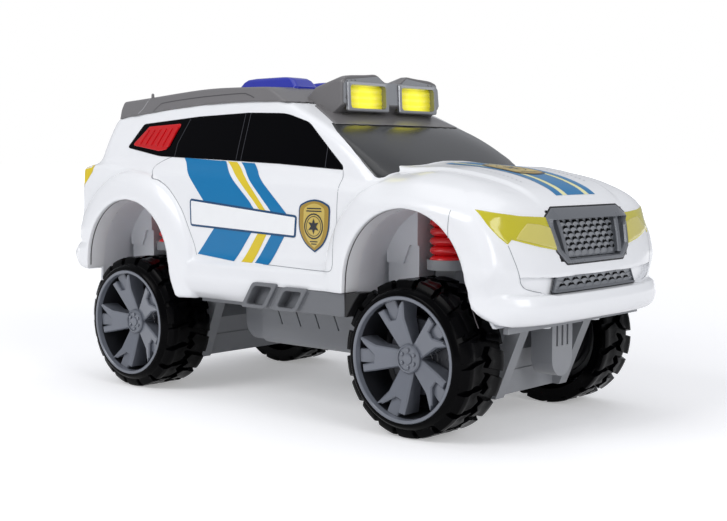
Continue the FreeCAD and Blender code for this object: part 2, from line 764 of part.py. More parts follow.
def make_liner(axle_x):
    """Right-hand inner wing: tunnel over the wheel, closing wall and hooded cover of the spring tower."""
    tunnel = arch_hole(axle_x, liner_wall, sill_height, -flare_root_y, -liner_inner_y + liner_wall)
    hollow = arch_hole(axle_x, 0, 0, -body_width, -liner_inner_y)
    x1 = axle_x - spring_radius - tower_gap
    x0 = x1 - tower_width
    high_z = arch_centre_z + arch_radius + liner_wall / 2
    wall_y = -liner_inner_y + liner_wall / 2
    tower = block(x0, x1, -liner_inner_y - tower_reach, wall_y, sill_height, high_z)
    hood_points = [(x0, hood_low_z), (x1 - hood_notch_width - hood_slant, hood_low_z),
                   (x1 - hood_notch_width, hood_notch_z), (x1, hood_notch_z), (x1, high_z), (x0, high_z)]
    hood_out_y = -liner_inner_y - tower_reach - hood_reach
    hood = prism(polygon(hood_points), side_place, V(0, wall_y - hood_out_y, 0), V(0, hood_out_y, 0))
    return tunnel.cut(hollow).fuse([tower, hood]).common(tunnel).cut(step_blank())


def make_spring():
    """Moulded spring on the Z axis, coils drawn as stacked rings."""
    roof_z = arch_centre_z + math.sqrt(arch_radius ** 2 - spring_radius ** 2)
    top = roof_z - spring_foot_z - seam
    coil_height = top / spring_coils
    points = [(0, 0)]
    for i in range(spring_coils):
        z = i * coil_height
        points += [(spring_core_radius, z), (spring_radius, z + coil_height * 0.3),
                   (spring_radius, z + coil_height * 0.7)]
    points += [(spring_core_radius, top), (0, top)]
    face = Part.Face(outline(polygon(points), side_place))
    spring = face.revolve(V(0, 0, 0), V(0, 0, 1), 360)
    spring.translate(V(0, -spring_y, spring_foot_z))
    return spring


def make_chassis():
    """Floor plate with the battery tub under it and the tongue at the nose."""
    edge_x = half_length - 8 * wall
    edge_y = half_width - 8 * wall
    plate = block(-edge_x, edge_x, -edge_y, edge_y, plate_under_z, sill_height)
    well = arch_radius + liner_wall + arch_front_spread
    for axle_x in (front_axle_x, rear_axle_x):
        for side in (-1, 1):
            y0, y1 = sorted((side * (liner_inner_y - liner_wall - seam), side * body_width))
            plate = plate.cut(block(axle_x - well, axle_x + well, y0, y1, 0, belt_height))
    tub = block(tub_rear_x, tub_front_x, -tub_half_width, tub_half_width, tub_floor_z, plate_under_z)
    tub = tub.makeFillet(tub_corner, [edge for edge in tub.Edges if edge.BoundBox.ZMax < tub_floor_z + seam])
    end_half = tub_half_width - tub_end_set_in
    end_low_z = tub_floor_z + tub_end_set_in / 2
    tub_end = block(tub_rear_x - tub_end_length, tub_rear_x + tub_corner, -end_half, end_half, end_low_z,
                    plate_under_z)
    rear_low = [edge for edge in tub_end.Edges
                if edge.BoundBox.XMax < tub_rear_x - tub_end_length + seam and edge.BoundBox.ZMax < end_low_z + seam]
    tub_end = tub_end.makeFillet(tub_end_radius, rear_low)
    slots = []
    for i in range(4):
        x = tub_slot_x + i * tub_slot_pitch
        low_z = tub_slot_top_z - tub_slot_height
        points = [(x + tub_slot_lean, low_z), (x + tub_slot_lean + tub_slot_width, low_z),
                  (x + tub_slot_width, tub_slot_top_z), (x, tub_slot_top_z)]
        slot = prism(polygon(points), side_place, V(0, tub_slot_depth, 0), V(0, -tub_half_width, 0))
        slots += [slot, mirrored(slot)]
    recess = block(-lid_length / 2, lid_length / 2, -lid_width / 2, lid_width / 2, 0, tub_floor_z + lid_thickness)
    half = tongue_width / 2
    tongue_rear_x = tongue_x - tongue_length / 2
    tongue_front_x = tongue_x + tongue_length / 2
    tongue = block(tongue_rear_x, tongue_front_x, -half, half, tongue_floor_z + half, plate_under_z)
    tip = Part.makeCylinder(half, tongue_length, V(tongue_rear_x, 0, tongue_floor_z + half), V(1, 0, 0))
    for i in (-1, 0, 1):
        y = i * tongue_slot_pitch
        slots.append(block(tongue_front_x - tongue_slot_depth, tongue_front_x, y - tongue_slot_width / 2,
                           y + tongue_slot_width / 2, plate_under_z - tongue_slot_height, plate_under_z))
    return plate.fuse([tub, tub_end, tongue, tip]).cut(recess).cut(slots)


def make_lid():
    return block(-lid_length / 2 + lid_gap, lid_length / 2 - lid_gap, -lid_width / 2 + lid_gap,
                 lid_width / 2 - lid_gap, tub_floor_z, tub_floor_z + lid_thickness)


def make_housing(axle_x, strut_y, strut_way):
    """Axle carrier: box round the axle, spring cups on arms and slanted skid struts."""
    low = housing_length / 2
    high = housing_length * 0.36
    points = [(axle_x - low * 0.7, housing_floor_z), (axle_x + low * 0.7, housing_floor_z),
              (axle_x + low, axle_height), (axle_x + high, plate_under_z), (axle_x - high, plate_under_z),
              (axle_x - low, axle_height)]
    body = across(polygon(points), housing_half_width)
    parts = []
    for side in (-1, 1):
        foot_x = axle_x + strut_way * housing_length * 0.42
        head_x = foot_x + strut_run * 0.45
        strut_points = [(foot_x - strut_thickness / 2, strut_foot_z), (foot_x + strut_thickness / 2, strut_foot_z),
                        (head_x + strut_thickness / 2, plate_under_z),
                        (head_x - strut_thickness / 2, plate_under_z)]
        y0 = side * strut_y - strut_width / 2
        parts.append(prism(polygon(strut_points), side_place, V(0, strut_width, 0), V(0, y0, 0)))
        rung_y0, rung_y1 = sorted((0, side * (strut_y + strut_width / 2)))
        parts.append(block(axle_x, foot_x, rung_y0, rung_y1, strut_foot_z, housing_floor_z + strut_width))
        cup = Part.makeCylinder(cup_radius, 2 * cup_floor, V(axle_x, side * spring_y, spring_foot_z - cup_floor))
        cup = cup.cut(Part.makeCylinder(spring_radius + seam, 2 * cup_floor,
                                        V(axle_x, side * spring_y, spring_foot_z)))
        inside = liner_inner_y + seam
        cup = cup.cut(block(axle_x - cup_radius, axle_x + cup_radius, -inside, inside, 0, belt_height))
        parts.append(cup)
        arm_y0, arm_y1 = sorted((side * housing_half_width * 0.9, side * arm_reach))
        parts.append(block(axle_x - arm_width / 2, axle_x + arm_width / 2, arm_y0, arm_y1,
                           housing_top_z - arm_width, plate_under_z))
        column_y0, column_y1 = sorted((side * inside, side * arm_reach))
        parts.append(block(axle_x - arm_width / 2, axle_x + arm_width / 2, column_y0, column_y1,
                           housing_top_z - arm_width / 2, spring_foot_z - cup_floor / 2))
    housing = body.fuse(parts)
    bore = Part.makeCylinder(axle_rod_radius + axle_bore_clearance, 4 * housing_half_width,
                             V(axle_x, -2 * housing_half_width, axle_height), AXIS_Y)
    return housing.cut(bore)


# Side outline of the roof moulding, as shares of the greenhouse
roof_top_shares = [(0.785, 0.667), (0.755, 0.830), (0.640, 1.097), (0.400, 1.154), (0.180, 1.077), (0.060, 1.035)]
roof_tail_shares = [(0.060, 1.035), (0.058, 0.906), (0.070, 0.782)]


def roof_moulding_solid():
    tail_x = greenhouse_front_x - greenhouse_length
    top = scaled(roof_top_shares, tail_x, greenhouse_length, greenhouse_base_z, greenhouse_height)
    tail = scaled(roof_tail_shares, tail_x, greenhouse_length, greenhouse_base_z, greenhouse_height)
    side = [top, tail, [tail[-1], top[0]]]
    form = across(side, body_width)
    section = polygon([(-roof_rail_foot_y, greenhouse_base_z + greenhouse_height * 0.6),
                       (roof_rail_foot_y, greenhouse_base_z + greenhouse_height * 0.6),
                       (roof_rail_foot_y, greenhouse_base_z + greenhouse_height * 0.95),
                       (roof_rail_top_y, greenhouse_base_z + greenhouse_height + roof_rise),
                       (-roof_rail_top_y, greenhouse_base_z + greenhouse_height + roof_rise),
                       (-roof_rail_foot_y, greenhouse_base_z + greenhouse_height * 0.95)])
    return form.common(prism(section, front_place, V(2 * body_length, 0, 0), V(-body_length, 0, 0)))


def make_rod(axle_x):
    end_y = rim_face_y - spoke_inset - 2 * spoke_thickness - axle_rod_end
    return Part.makeCylinder(axle_rod_radius, 2 * end_y, V(axle_x, -end_y, axle_height), AXIS_Y)


def main():
    os.makedirs("parts", exist_ok=True)
    nodes = {}
    low_form = lower_body(0)
    top_form = greenhouse(0)
    body = make_body()

    glass_shift = V(0, glass_thickness, 0)
    window = skin(top_form, side_cutter(window_segments(seam)), glass_shift)
    window = window.cut(side_cutter(tail_lamp_segments(0)))
    lamp_form = top_form.copy()
    lamp_form.translate(V(0, -lamp_thickness / 2, 0))
    lamp = lamp_form.common(side_cutter(tail_lamp_segments(seam)))
    inner = top_form.copy()
    inner.translate(glass_shift)
    lamp = lamp.cut(inner).fuse(lamp_ribs(lamp_form, inner))
    window_hole = skin(top_form, side_cutter(window_segments(0)), glass_shift)
    window_hole = window_hole.fuse(top_form.common(side_cutter(window_segments(2 * wall))))
    screen_shift = V(-glass_thickness, 0, 0)
    screen = skin(top_form, front_cutter(screen_segments(seam)), screen_shift)
    screen = screen.cut(low_form)
    screen_hole = skin(top_form, front_cutter(screen_segments(0)), screen_shift).cut(low_form)
    rear_pane = skin(top_form, rear_cutter(rear_segments(seam)), V(glass_thickness, 0, 0))
    rear_hole = skin(top_form, rear_cutter(rear_segments(0)), V(glass_thickness, 0, 0))
    head_shift = V(-lamp_thickness, lamp_thickness * 0.6, 0)
    nose_opening = front_cutter(polygon(nose_points(grille_shares)))
    headlamp = skin(low_form, headlamp_cutter(seam), head_shift).cut(nose_opening)
    head_hole = skin(low_form, headlamp_cutter(0), head_shift)
    grille = grille_piece(grille_shares, low_form, grille_frame, grille_proud).fuse(grille_posts(low_form))
    lower_grille = grille_piece(lower_grille_shares, low_form, lower_grille_frame, -lower_grille_sink)
    grille_hole = skin(low_form, nose_opening, V(-grille_depth, 0, 0))
    lower_hole = skin(low_form, front_cutter(polygon(nose_points(lower_grille_shares))), V(-grille_depth, 0, 0))
    recess = skin(low_form, front_cutter(polygon(nose_points(recess_shares))), V(-bumper_recess, 0, 0))
    for hole in (window_hole, mirrored(window_hole), screen_hole, rear_hole, head_hole, mirrored(head_hole),
                 grille_hole, lower_hole, recess):
        body = body.cut(hole)
    nodes["side_window_right"] = window
    nodes["tail_lamp_right"] = lamp
    nodes["headlamp_right"] = headlamp
    nodes["windscreen"] = screen
    nodes["rear_window"] = rear_pane
    nodes["grille"] = grille
    nodes["lower_grille"] = lower_grille

    roof = roof_moulding_solid().cut(top_form)
    pod = make_pod().cut(top_form).cut(roof)
    bezel = lamp_slab(0, pod_face_x - pod_recess, pod_face_x + 2 * pod_lean + pod_bezel / 2)
    lens = lamp_slab(pod_bezel, pod_face_x - pod_recess, pod_face_x - pod_recess + pod_lens_thickness)
    pit = lamp_slab(pod_bezel, pod_face_x - pod_recess, pod_face_x + body_length)
    nodes["lamp_pod"] = pod.cut(bezel).cut(mirrored(bezel)).cut(pit)
    nodes["pod_bezel_right"] = bezel.cut(pit).cut(top_form).cut(roof)
    nodes["pod_lens_right"] = lens.cut(top_form).cut(roof)
    nodes["beacon_right"] = make_beacon().cut(roof)
    nodes["roof_moulding"] = roof
    nodes["side_step_right"] = make_step()
    body = body.cut(step_blank()).cut(mirrored(step_blank()))
    nodes["body_shell"] = body
    spring = make_spring()
    for axle, axle_x in (("front", front_axle_x), ("rear", rear_axle_x)):
        nodes["arch_liner_" + axle + "_right"] = make_liner(axle_x)
        placed = spring.copy()
        placed.translate(V(axle_x, 0, 0))
        nodes["spring_" + axle + "_right"] = placed
    for name in list(nodes):
        if name.endswith("_right"):
            nodes[name[:-5] + "left"] = mirrored(nodes[name])
    nodes["front_axle_housing"] = make_housing(front_axle_x, front_strut_y, 1)
    nodes["rear_axle_housing"] = make_housing(rear_axle_x, rear_strut_y, 1)
    nodes["chassis"] = make_chassis()
    nodes["battery_lid"] = make_lid()
    nodes["front_axle_rod"] = make_rod(front_axle_x)
    nodes["rear_axle_rod"] = make_rod(rear_axle_x)
    rim = make_wheel_rim()
    tyre = make_tyre()
    disc = make_disc()
    for axle, axle_x in (("front", front_axle_x), ("rear", rear_axle_x)):
        for side, name in ((-1, "right"), (1, "left")):
            nodes["rim_" + axle + "_" + name] = place_wheel(rim, axle_x, rim_face_y, side)
            nodes["tyre_" + axle + "_" + name] = place_wheel(tyre, axle_x, tyre_outer_y, side)
            nodes["disc_" + axle + "_" + name] = place_wheel(disc, axle_x, rim_face_y, side)
    for name, shape in nodes.items():
        save(name, shape)
        print(name, len(shape.Solids), round(shape.Volume, 1), shape.isValid())


main()
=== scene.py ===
import json
import math

import bpy
import numpy as np
from mathutils import Euler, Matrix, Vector
from mathutils.geometry import delaunay_2d_cdt

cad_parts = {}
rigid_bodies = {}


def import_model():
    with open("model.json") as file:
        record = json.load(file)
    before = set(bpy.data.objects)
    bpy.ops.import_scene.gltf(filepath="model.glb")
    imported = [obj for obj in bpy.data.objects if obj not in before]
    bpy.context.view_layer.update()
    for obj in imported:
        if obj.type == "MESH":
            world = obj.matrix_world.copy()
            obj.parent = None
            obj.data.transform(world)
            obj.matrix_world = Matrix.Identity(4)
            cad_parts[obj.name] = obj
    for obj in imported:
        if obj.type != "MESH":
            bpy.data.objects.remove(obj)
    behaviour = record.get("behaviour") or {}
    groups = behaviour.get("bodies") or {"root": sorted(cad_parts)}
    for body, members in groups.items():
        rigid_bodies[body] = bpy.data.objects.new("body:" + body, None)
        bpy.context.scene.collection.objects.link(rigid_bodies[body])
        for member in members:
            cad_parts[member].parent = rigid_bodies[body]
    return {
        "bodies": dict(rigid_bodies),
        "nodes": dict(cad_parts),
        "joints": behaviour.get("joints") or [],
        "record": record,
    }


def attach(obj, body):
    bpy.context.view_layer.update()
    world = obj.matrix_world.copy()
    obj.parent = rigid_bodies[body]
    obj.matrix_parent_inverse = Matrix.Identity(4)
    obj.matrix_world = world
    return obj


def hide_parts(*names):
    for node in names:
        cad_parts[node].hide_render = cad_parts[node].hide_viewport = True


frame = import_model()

bl_info = {
    "name": "Toy police off-road car",
    "version": (1, 0, 0),
    "blender": (4, 5, 0),
    "location": "View3D > Sidebar > Toy Car",
    "description": "Builds the moulded skin, glazing, lamps, decals and wheels of the packed toy car",
    "category": "Object",
}

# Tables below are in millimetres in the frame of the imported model: +X forwards, +Y to the left, +Z up.
MM = 0.001
HALF_WIDTH = 75.8
HALF_LENGTH = 165.0
AXLES = {"front": 99.5, "rear": -104.5}
AXLE_Z = 37.5
ARCH_R = 37.2
ARCH_Z = 71.0
ARCH_INNER_Y = 29
FRONT_SPREAD, REAR_SPREAD, SPREAD_START_Z = 6.5, 1.0, 78
SILL_Z = 55.0
SKIN = 3.4
STEP_TOP_Z = 66
SHELL_LOW_Z, SHELL_HIGH_Z = 52.5, 166
POD_FACE_X, POD_FOOT_Z = 31.2, 155
SIDES = ("right", "left")


# Curves and soft joins

class Curve:
    """Smooth curve through points, read as a height against a distance, straight beyond its ends."""

    def __init__(self, points):
        x, y = np.array(sorted(points), float).T
        count, gap = len(x), np.diff(x)
        matrix, right = np.eye(count), np.zeros(count)
        for i in range(1, count - 1):
            matrix[i, i - 1:i + 2] = gap[i - 1], 2 * (gap[i - 1] + gap[i]), gap[i]
            right[i] = 6 * ((y[i + 1] - y[i]) / gap[i] - (y[i] - y[i - 1]) / gap[i - 1])
        bend = np.linalg.solve(matrix, right)
        self.at = np.linspace(x[0], x[-1], 3000)
        i = np.clip(np.searchsorted(x, self.at, side="right") - 1, 0, count - 2)
        h, a, b = gap[i], x[i + 1] - self.at, self.at - x[i]
        self.height = ((bend[i] * a ** 3 + bend[i + 1] * b ** 3) / (6 * h)
                       + (y[i] / h - bend[i] * h / 6) * a + (y[i + 1] / h - bend[i + 1] * h / 6) * b)
        self.slope = np.gradient(self.height, self.at)

    def __call__(self, x):
        value = np.interp(x, self.at, self.height)
        value = value + np.minimum(x - self.at[0], 0) * self.slope[0]
        return value + np.maximum(x - self.at[-1], 0) * self.slope[-1]

    def steep(self, x):
        """Length along the curve for one unit of distance, to turn a height into a distance."""
        return np.sqrt(1 + np.interp(x, self.at, self.slope) ** 2)


def soft_max(a, b, blend):
    near = np.maximum(blend - np.abs(a - b), 0) / blend
    return np.maximum(a, b) + near * near * blend * 0.25


def soft_min(a, b, blend):
    return -soft_max(-a, -b, blend)


def ease(value, start, end):
    """0 before start, 1 after end, smooth between."""
    t = np.clip((value - start) / (end - start), 0, 1)
    return t * t * (3 - 2 * t)


# Outlines of the moulded body

bonnet_top = Curve([(-139.3, 133.8), (-125.4, 135.4), (-99, 135.9), (-33, 133.6), (33, 130.8), (66, 129.3),
                    (83.2, 128), (101.6, 126.2), (119.5, 123.3), (137, 117.9), (145.9, 113.7)])
nose_front = Curve([(50, 158.6), (66, 159.2), (74, 158.6), (82, 157.4), (92, 155.4), (104, 152.1),
                    (108.8, 150.2), (113.7, 146)])
lip_front = Curve([(52, 157), (55, 160.4), (58, 163.2), (62, 164.8), (66, 164.7), (69.5, 163.4)])
tail_back = Curve([(55, -148), (62, -150.5), (66, -154.5), (69.5, -161), (72.5, -164.4), (76.2, -164.9),
                   (78.4, -163.2), (80, -159.3), (86, -158.2), (98.6, -157.2), (110, -156.9), (119.7, -156.6),
                   (127.2, -156.2), (130.5, -154.5), (133, -151), (135, -145)])
bow_front = Curve([(0, 0), (15, .15), (30, .75), (45, 2.2), (55, 4.8), (62, 8.6), (68, 14), (72.5, 21.4),
                   (75.5, 32)])
bow_back = Curve([(0, 0), (30, .25), (50, .8), (60, 1.4), (66, 2.4), (70, 4.6), (73, 9.5), (75.5, 18)])
side_out = Curve([(50, 64.4), (55, 67.8), (58, 70.9), (62, 73), (67, 73.7), (72, 73.4), (74.8, 72.5),
                  (76.6, 70.8), (78.4, 70.2), (90, 70.6), (106, 70.3), (119, 68.9), (127.5, 67.2), (138, 64)])
flare_out = Curve([(30, 75.6), (38.4, 75.6), (42, 75.3), (46.5, 74.5), (50, 73.1), (51.6, 72.1), (52.8, 70.4),
                   (53.8, 67), (55.2, 61), (58, 50)])
glass_front = Curve([(118, 88.6), (120, 86.3), (134.8, 66.6), (150.3, 35.9), (158, 18)])
glass_back = Curve([(118, -156.4), (120, -156), (134.8, -150.6), (148.7, -143.7), (156, -137.6), (160, -132)])
glass_side = Curve([(118, 65.5), (132, 62.9), (146, 59.7), (155, 57.6), (161, 56.2), (165, 55)])
glass_bow = Curve([(0, 0), (15, .5), (31, 2.7), (43, 6.0), (53.5, 10.5), (61.6, 15), (66, 19)])
glass_bow_back = Curve([(0, 0), (30, .5), (45, 1.3), (55, 3.6), (60, 6.2), (63, 8.8), (66, 15)])
white_roof = Curve([(-146, 150), (-137.6, 154.5), (-128, 156), (-114, 157.6), (-96, 159.3), (-62.5, 161.8),
                    (-22.4, 162.5), (8, 161.5), (22, 158.8), (30, 155), (40, 150), (50, 144)])
rail_foot = Curve([(-146, 150.5), (-128, 154.8), (-114, 156.2), (-96, 157.7), (-62.5, 160.2), (-22.4, 161.1),
                   (8, 160.1), (22.2, 157.4), (30, 152.6), (36, 148.6), (40, 148.2), (52, 148)])
rail_top = Curve([(-142, 164.5), (-111.7, 166.3), (-57.6, 169.6), (-25, 169.2), (1.4, 167.2), (20, 162.0),
                  (29.7, 158.0), (36, 154.5), (44, 149.5)])
pod_top = Curve([(0, 171.6), (6, 171.8), (9, 173.4), (12, 175), (16, 175.1), (30, 174.2), (38, 172.6),
                 (43, 169.6)])


def front_face(x, side, z):
    """Nose above the bumper: it bows less towards the bonnet."""
    low = 1 - ease(z, 68, 84)
    return (x - nose_front(z) + (0.62 + 0.38 * low) * bow_front(side)) / bow_front.steep(side)


def bumper_lip(x, side, z):
    """Lower lip of the bumper, with rounded ends and a flat top."""
    end_y, top_z, root_x = 71.4, 69.6, 112
    face = (x - lip_front(z) + bow_front(side)) / bow_front.steep(side)
    lip = soft_max(face + 0.15 * bow_front(side), side - end_y, 5)
    lip = soft_max(lip, z - top_z, 1.2)
    return np.maximum(lip, root_x - x)


def top_face(x, side, z):
    """Bonnet and belt: a crown, round shoulders and a raised panel that starts at the windscreen."""
    share = side / HALF_WIDTH
    scuttle = 1.7 * ease(side, 6, 34) * (1 - ease(x, 78, 102))
    shoulder = 9 * (np.maximum(share - 0.6, 0) / 0.33) ** 2.5 * (1 - 0.6 * ease(-x, 112, 146))
    drop = scuttle + 1.2 * share ** 2 + shoulder
    edge, blend = 50 - 0.17 * np.maximum(x - 60, 0), 2.6
    panel = 1 - ease(side, edge - blend, edge + blend)
    low_height = 1.3
    height = 2 * low_height - low_height * ease(x, 78, 108)
    start = ease(x, 40, 70)
    raised = height * panel * start
    return (z - bonnet_top(x) + drop - raised + 1.0 + (height - low_height) * start) / bonnet_top.steep(x)


def flare_face(x, side, z, axle_x):
    """Bulge of the wing round one arch."""
    away = np.where(z > ARCH_Z, np.hypot(x - axle_x, z - ARCH_Z), np.abs(x - axle_x))
    return (side - flare_out(away)) / flare_out.steep(away)


def upper_form(x, y, z):
    """Greenhouse, down to where the lower body hides it."""
    hidden_foot_z = 108
    side = np.abs(y)
    upper = soft_max(side - glass_side(z), screen_face(x, side, z), 5)
    upper = soft_max(upper, (glass_back(z) + glass_bow_back(side) - x) / 1.1, 6)
    upper = soft_max(upper, z - white_roof(x), 3)
    return np.maximum(upper, hidden_foot_z - z)


def screen_face(x, side, z, proud=0):
    """Slanted plane of the windscreen."""
    return (x - glass_front(z) + 0.6 * glass_bow(side) - proud) / 1.7


def outer_form(x, y, z):
    """Outside of the white moulding before its openings: below zero inside."""
    side = np.abs(y)
    rear = ease(-x, 100, 140)
    ends = soft_max(front_face(x, side, z), (tail_back(z) + bow_back(side) - x) / bow_back.steep(side), 4)
    top = top_face(x, side, z)
    lower = soft_max(soft_max(side - side_out(z), ends, 4 - 2 * rear), top, 3.2 - 1.6 * rear)
    flares = np.minimum(*[flare_face(x, side, z, axle_x) for axle_x in AXLES.values()])
    proud = ease(side, 56, 68)
    flares = soft_max(soft_max(flares, ends - 1.4 * proud, 2), top - 1.2 * proud, 2.4)
    lower = np.maximum(soft_min(lower, flares, 0.9), np.maximum(side - HALF_WIDTH, -HALF_LENGTH - x) + 0.25)
    lower = soft_min(lower, bumper_lip(x, side, z), 1.6)
    return soft_min(lower, upper_form(x, y, z), 4 - 2.6 * ease(x, 30, 62))


def arch_gap(x, z, axle_x, extra):
    """Distance outside the arch outline, whose legs spread towards the sill."""
    reach = np.abs(x - axle_x)
    spread = np.where(x > axle_x, FRONT_SPREAD, REAR_SPREAD) * arch_fall(z)
    return np.where(z > ARCH_Z, np.hypot(reach, z - ARCH_Z), reach) - ARCH_R - spread - extra


def arch_fall(z):
    """How far an arch's legs have spread: nothing at their start, 1 at the sill."""
    return (np.maximum(SPREAD_START_Z - z, 0) / (SPREAD_START_Z - SILL_Z)) ** 2


def body_form(x, y, z):
    """The white moulding with its arches, hollow floor, bumper recess and grille pockets."""
    side = np.abs(y)
    outer = outer_form(x, y, z)
    form = soft_max(outer, SILL_Z - z, 2.2)
    lean = (z - SHELL_LOW_Z) * 0.622
    step_rear_x, step_front_x, step_inner_y = -9, 90, 61
    step = np.maximum(step_rear_x + lean - x, z - STEP_TOP_Z)
    form = soft_max(form, -np.maximum(np.maximum(step, x - step_front_x), step_inner_y - side), 0.8)
    lip_inset, liner_gap, lip_inner_y = 0.35, 2.6, 63.3
    for axle_x in AXLES.values():
        inner = ARCH_INNER_Y - side
        form = soft_max(form, -np.maximum(arch_gap(x, z, axle_x, -lip_inset), inner), 0.8)
        behind_lip = np.maximum(np.maximum(arch_gap(x, z, axle_x, liner_gap), inner), side - lip_inner_y)
        form = np.maximum(form, -behind_lip)
    corner = SILL_Z + 0.42 * np.maximum(151 - x, 0) + 0.3 * np.maximum(side - 66, 0) - z
    form = soft_max(form, np.minimum(corner, x - 128), 3)
    tail_foot_x, floor_z, floor_front_x = -142, 60, 138
    tail_step = np.maximum(x - tail_foot_x, z - STEP_TOP_Z)
    form = soft_max(form, -tail_step, 2)
    hollow = np.maximum(np.maximum(outer + SKIN, z - floor_z), x - floor_front_x)
    form = np.maximum(form, -hollow)
    face = front_face(x, side, z)
    return np.maximum(recessed(form, face, side, z), -grille_pocket(face, x, side, z))


def recessed(form, face, side, z):
    """The form with the shallow recess of the front bumper."""
    depth, low_z = 2.6, 69.2
    ceiling = 76.8 + 0.05 * np.maximum(side - 34, 0)
    end = 58.6 - 14.5 * (np.maximum(78.5 - z, 0) / 8.5) ** 2.6
    recess = soft_max(soft_max(-face - depth, z - ceiling, 0.5), side - end, 0.8)
    return soft_max(form, -np.maximum(recess, low_z - z), 0.5)


def grille_pocket(face, x, side, z):
    """Pocket behind the nose grille, wider towards its top."""
    depth, low_z, high_z, low_y, back_x = 5, 83.5, 107, 30, 140
    pocket = np.maximum(-face - depth, z - high_z)
    pocket = np.maximum(pocket, np.maximum(low_z - z, side - low_y - (z - low_z) * 0.18))
    return np.maximum(pocket, back_x - x)


def roof_form(x, y, z):
    """Grey roof moulding: header, rails and rear spoiler."""
    side = np.abs(y)
    crown = 0.9 * (side / 50) ** 2
    top = (z - rail_top(x) + crown - 1.0) / rail_top.steep(x)
    foot = rail_foot(x)
    header_z, header_y, header_x = 148.3, 50.6, 14
    header = np.maximum(side + 0.75 * (z - header_z) - header_y, header_x - x) / 1.25
    header = np.maximum(header, header_z - z)
    flank = (side - glass_side(foot) - 0.35 + np.maximum(z - foot - 0.6, 0) * 0.66) / 1.15
    spoiler_x = -142
    back = spoiler_x + 0.006 * np.maximum(side - 20, 0) ** 2 + np.maximum(160 - z, 0) * 0.35 - x
    ends = soft_max(screen_face(x, side, z, 1.6), back, 2)
    form = soft_max(soft_max(top, flank, 1.6), ends, 2)
    form = soft_max(form, np.minimum(foot - z, header), 0.6)
    return np.maximum(form, -np.maximum(outer_form(x, y, z) + SKIN, z - SHELL_HIGH_Z))


def pod_form(x, y, z):
    """Housing of the two roof lamps, with its dip between two humps."""
    side = np.abs(y)
    up = z - POD_FOOT_Z
    top = z - pod_top(side) + np.maximum(26 - x, 0) * 0.27 + np.maximum(10 - x, 0) * 0.5
    face = x - POD_FACE_X + up * 0.05
    flank = side - 40.6 + up * 0.08
    form = soft_max(soft_max(top, face, 1.6), flank, 2)
    form = soft_max(form, ((x - 24.5) * 0.75 + 154.2 - z) / 1.25, 0.8)
    lamp_y, lamp_half_y, lamp_z, lamp_half_z, pit_x, back_x, seat = 20.5, 15.6, 161.9, 7.9, 27.6, 2, 1.0
    pit = np.maximum(np.abs(side - lamp_y) - lamp_half_y, np.abs(z - lamp_z) - lamp_half_z)
    form = np.maximum(form, -np.maximum(pit, pit_x - x))
    form = np.maximum(form, back_x - x)
    return np.maximum(form, -(roof_form(x, y, z) + seat))


def step_form(x, y, z):
    """Grey lower trim with two raised frames round its scoops."""
    side = np.abs(y)
    lean = x - 0.66 * (z - 54.4)
    middle_z, half_height, rear_x, front_x = 60.04, 5.77, -6, 62.37
    panel_y, panel_inner_y, frame_y, frame_inner_y = 73.61, 61.73, 75.43, 64.07
    foot_z, rim, sill = 54.0, 2.7, 1.9
    height = np.abs(z - middle_z) - half_height
    ends = np.maximum(rear_x - lean, x - front_x)
    form = soft_max(soft_max(ends, height, 0.8), soft_max(side - panel_y, panel_inner_y - side, 0.6), 0.6)
    for middle, half, top in ((0, 9.1, 67.5), (22.4, 8.8, 66.4)):
        away = lean - middle
        frame = soft_max(np.abs(away) - half, np.maximum(z - top, foot_z - z), 2.2)
        frame = soft_max(frame, np.maximum(side - frame_y, frame_inner_y - side), 0.7)
        form = soft_min(form, frame, 0.3)
        pocket = soft_max(np.abs(away) - half + rim, np.maximum(z - top + sill, foot_z + sill - z), 1.8)
        form = soft_max(form, -np.maximum(pocket, 71.0 + 0.3 * away - 0.12 * (z - 60) - side), 0.6)
    return form


# Mesh makers

def slope_of(field, points, reach=0.04):
    """Direction in which the field grows fastest, one unit long, at each point."""
    result = np.empty_like(points)
    for axis in range(3):
        ahead, behind = points.copy(), points.copy()
        ahead[:, axis] += reach
        behind[:, axis] -= reach
        result[:, axis] = field(*ahead.T) - field(*behind.T)
    return result / np.maximum(np.linalg.norm(result, axis=1, keepdims=True), 1e-9)


def contour(field, low, high, step):
    """Vertices and faces of the surface where the field is zero, its creases kept, on the side y <= 0."""
    rows = int((0 - low[1]) / step) + 1
    spans = [np.arange(low[0], high[0] + step, step), step / 2 - step * np.arange(rows + 1)[::-1],
             np.arange(low[2], high[2] + step, step)]
    values = field(*np.meshgrid(*spans, indexing="ij"))
    cells = np.array(values.shape) - 1
    start = np.array([span[0] for span in spans])
    owners, spots, ways, quads = [], [], [], []
    for axis in range(3):
        index, points, from_outside = crossings(field, values, start, step, axis)
        normals = slope_of(field, points)
        ring, held = cells_round(index, axis, cells)
        for k in range(4):
            owners.append(ring[held[:, k], k])
            spots.append(points[held[:, k]])
            ways.append(normals[held[:, k]])
        ring[from_outside] = ring[from_outside][:, ::-1]
        quads.append(ring[held.all(1)])
    owners, spots, ways = np.concatenate(owners), np.concatenate(spots), np.concatenate(ways)
    names, owners = np.unique(owners, return_inverse=True)
    place = np.stack(np.unravel_index(names, cells), 1)
    centre = start + (place + 0.5) * step
    verts = np.clip(meeting_points(owners, spots, ways), centre - 0.5 * step, centre + 0.5 * step)
    verts[place[:, 1] == cells[1] - 1, 1] = 0
    return verts, np.searchsorted(names, np.concatenate(quads))


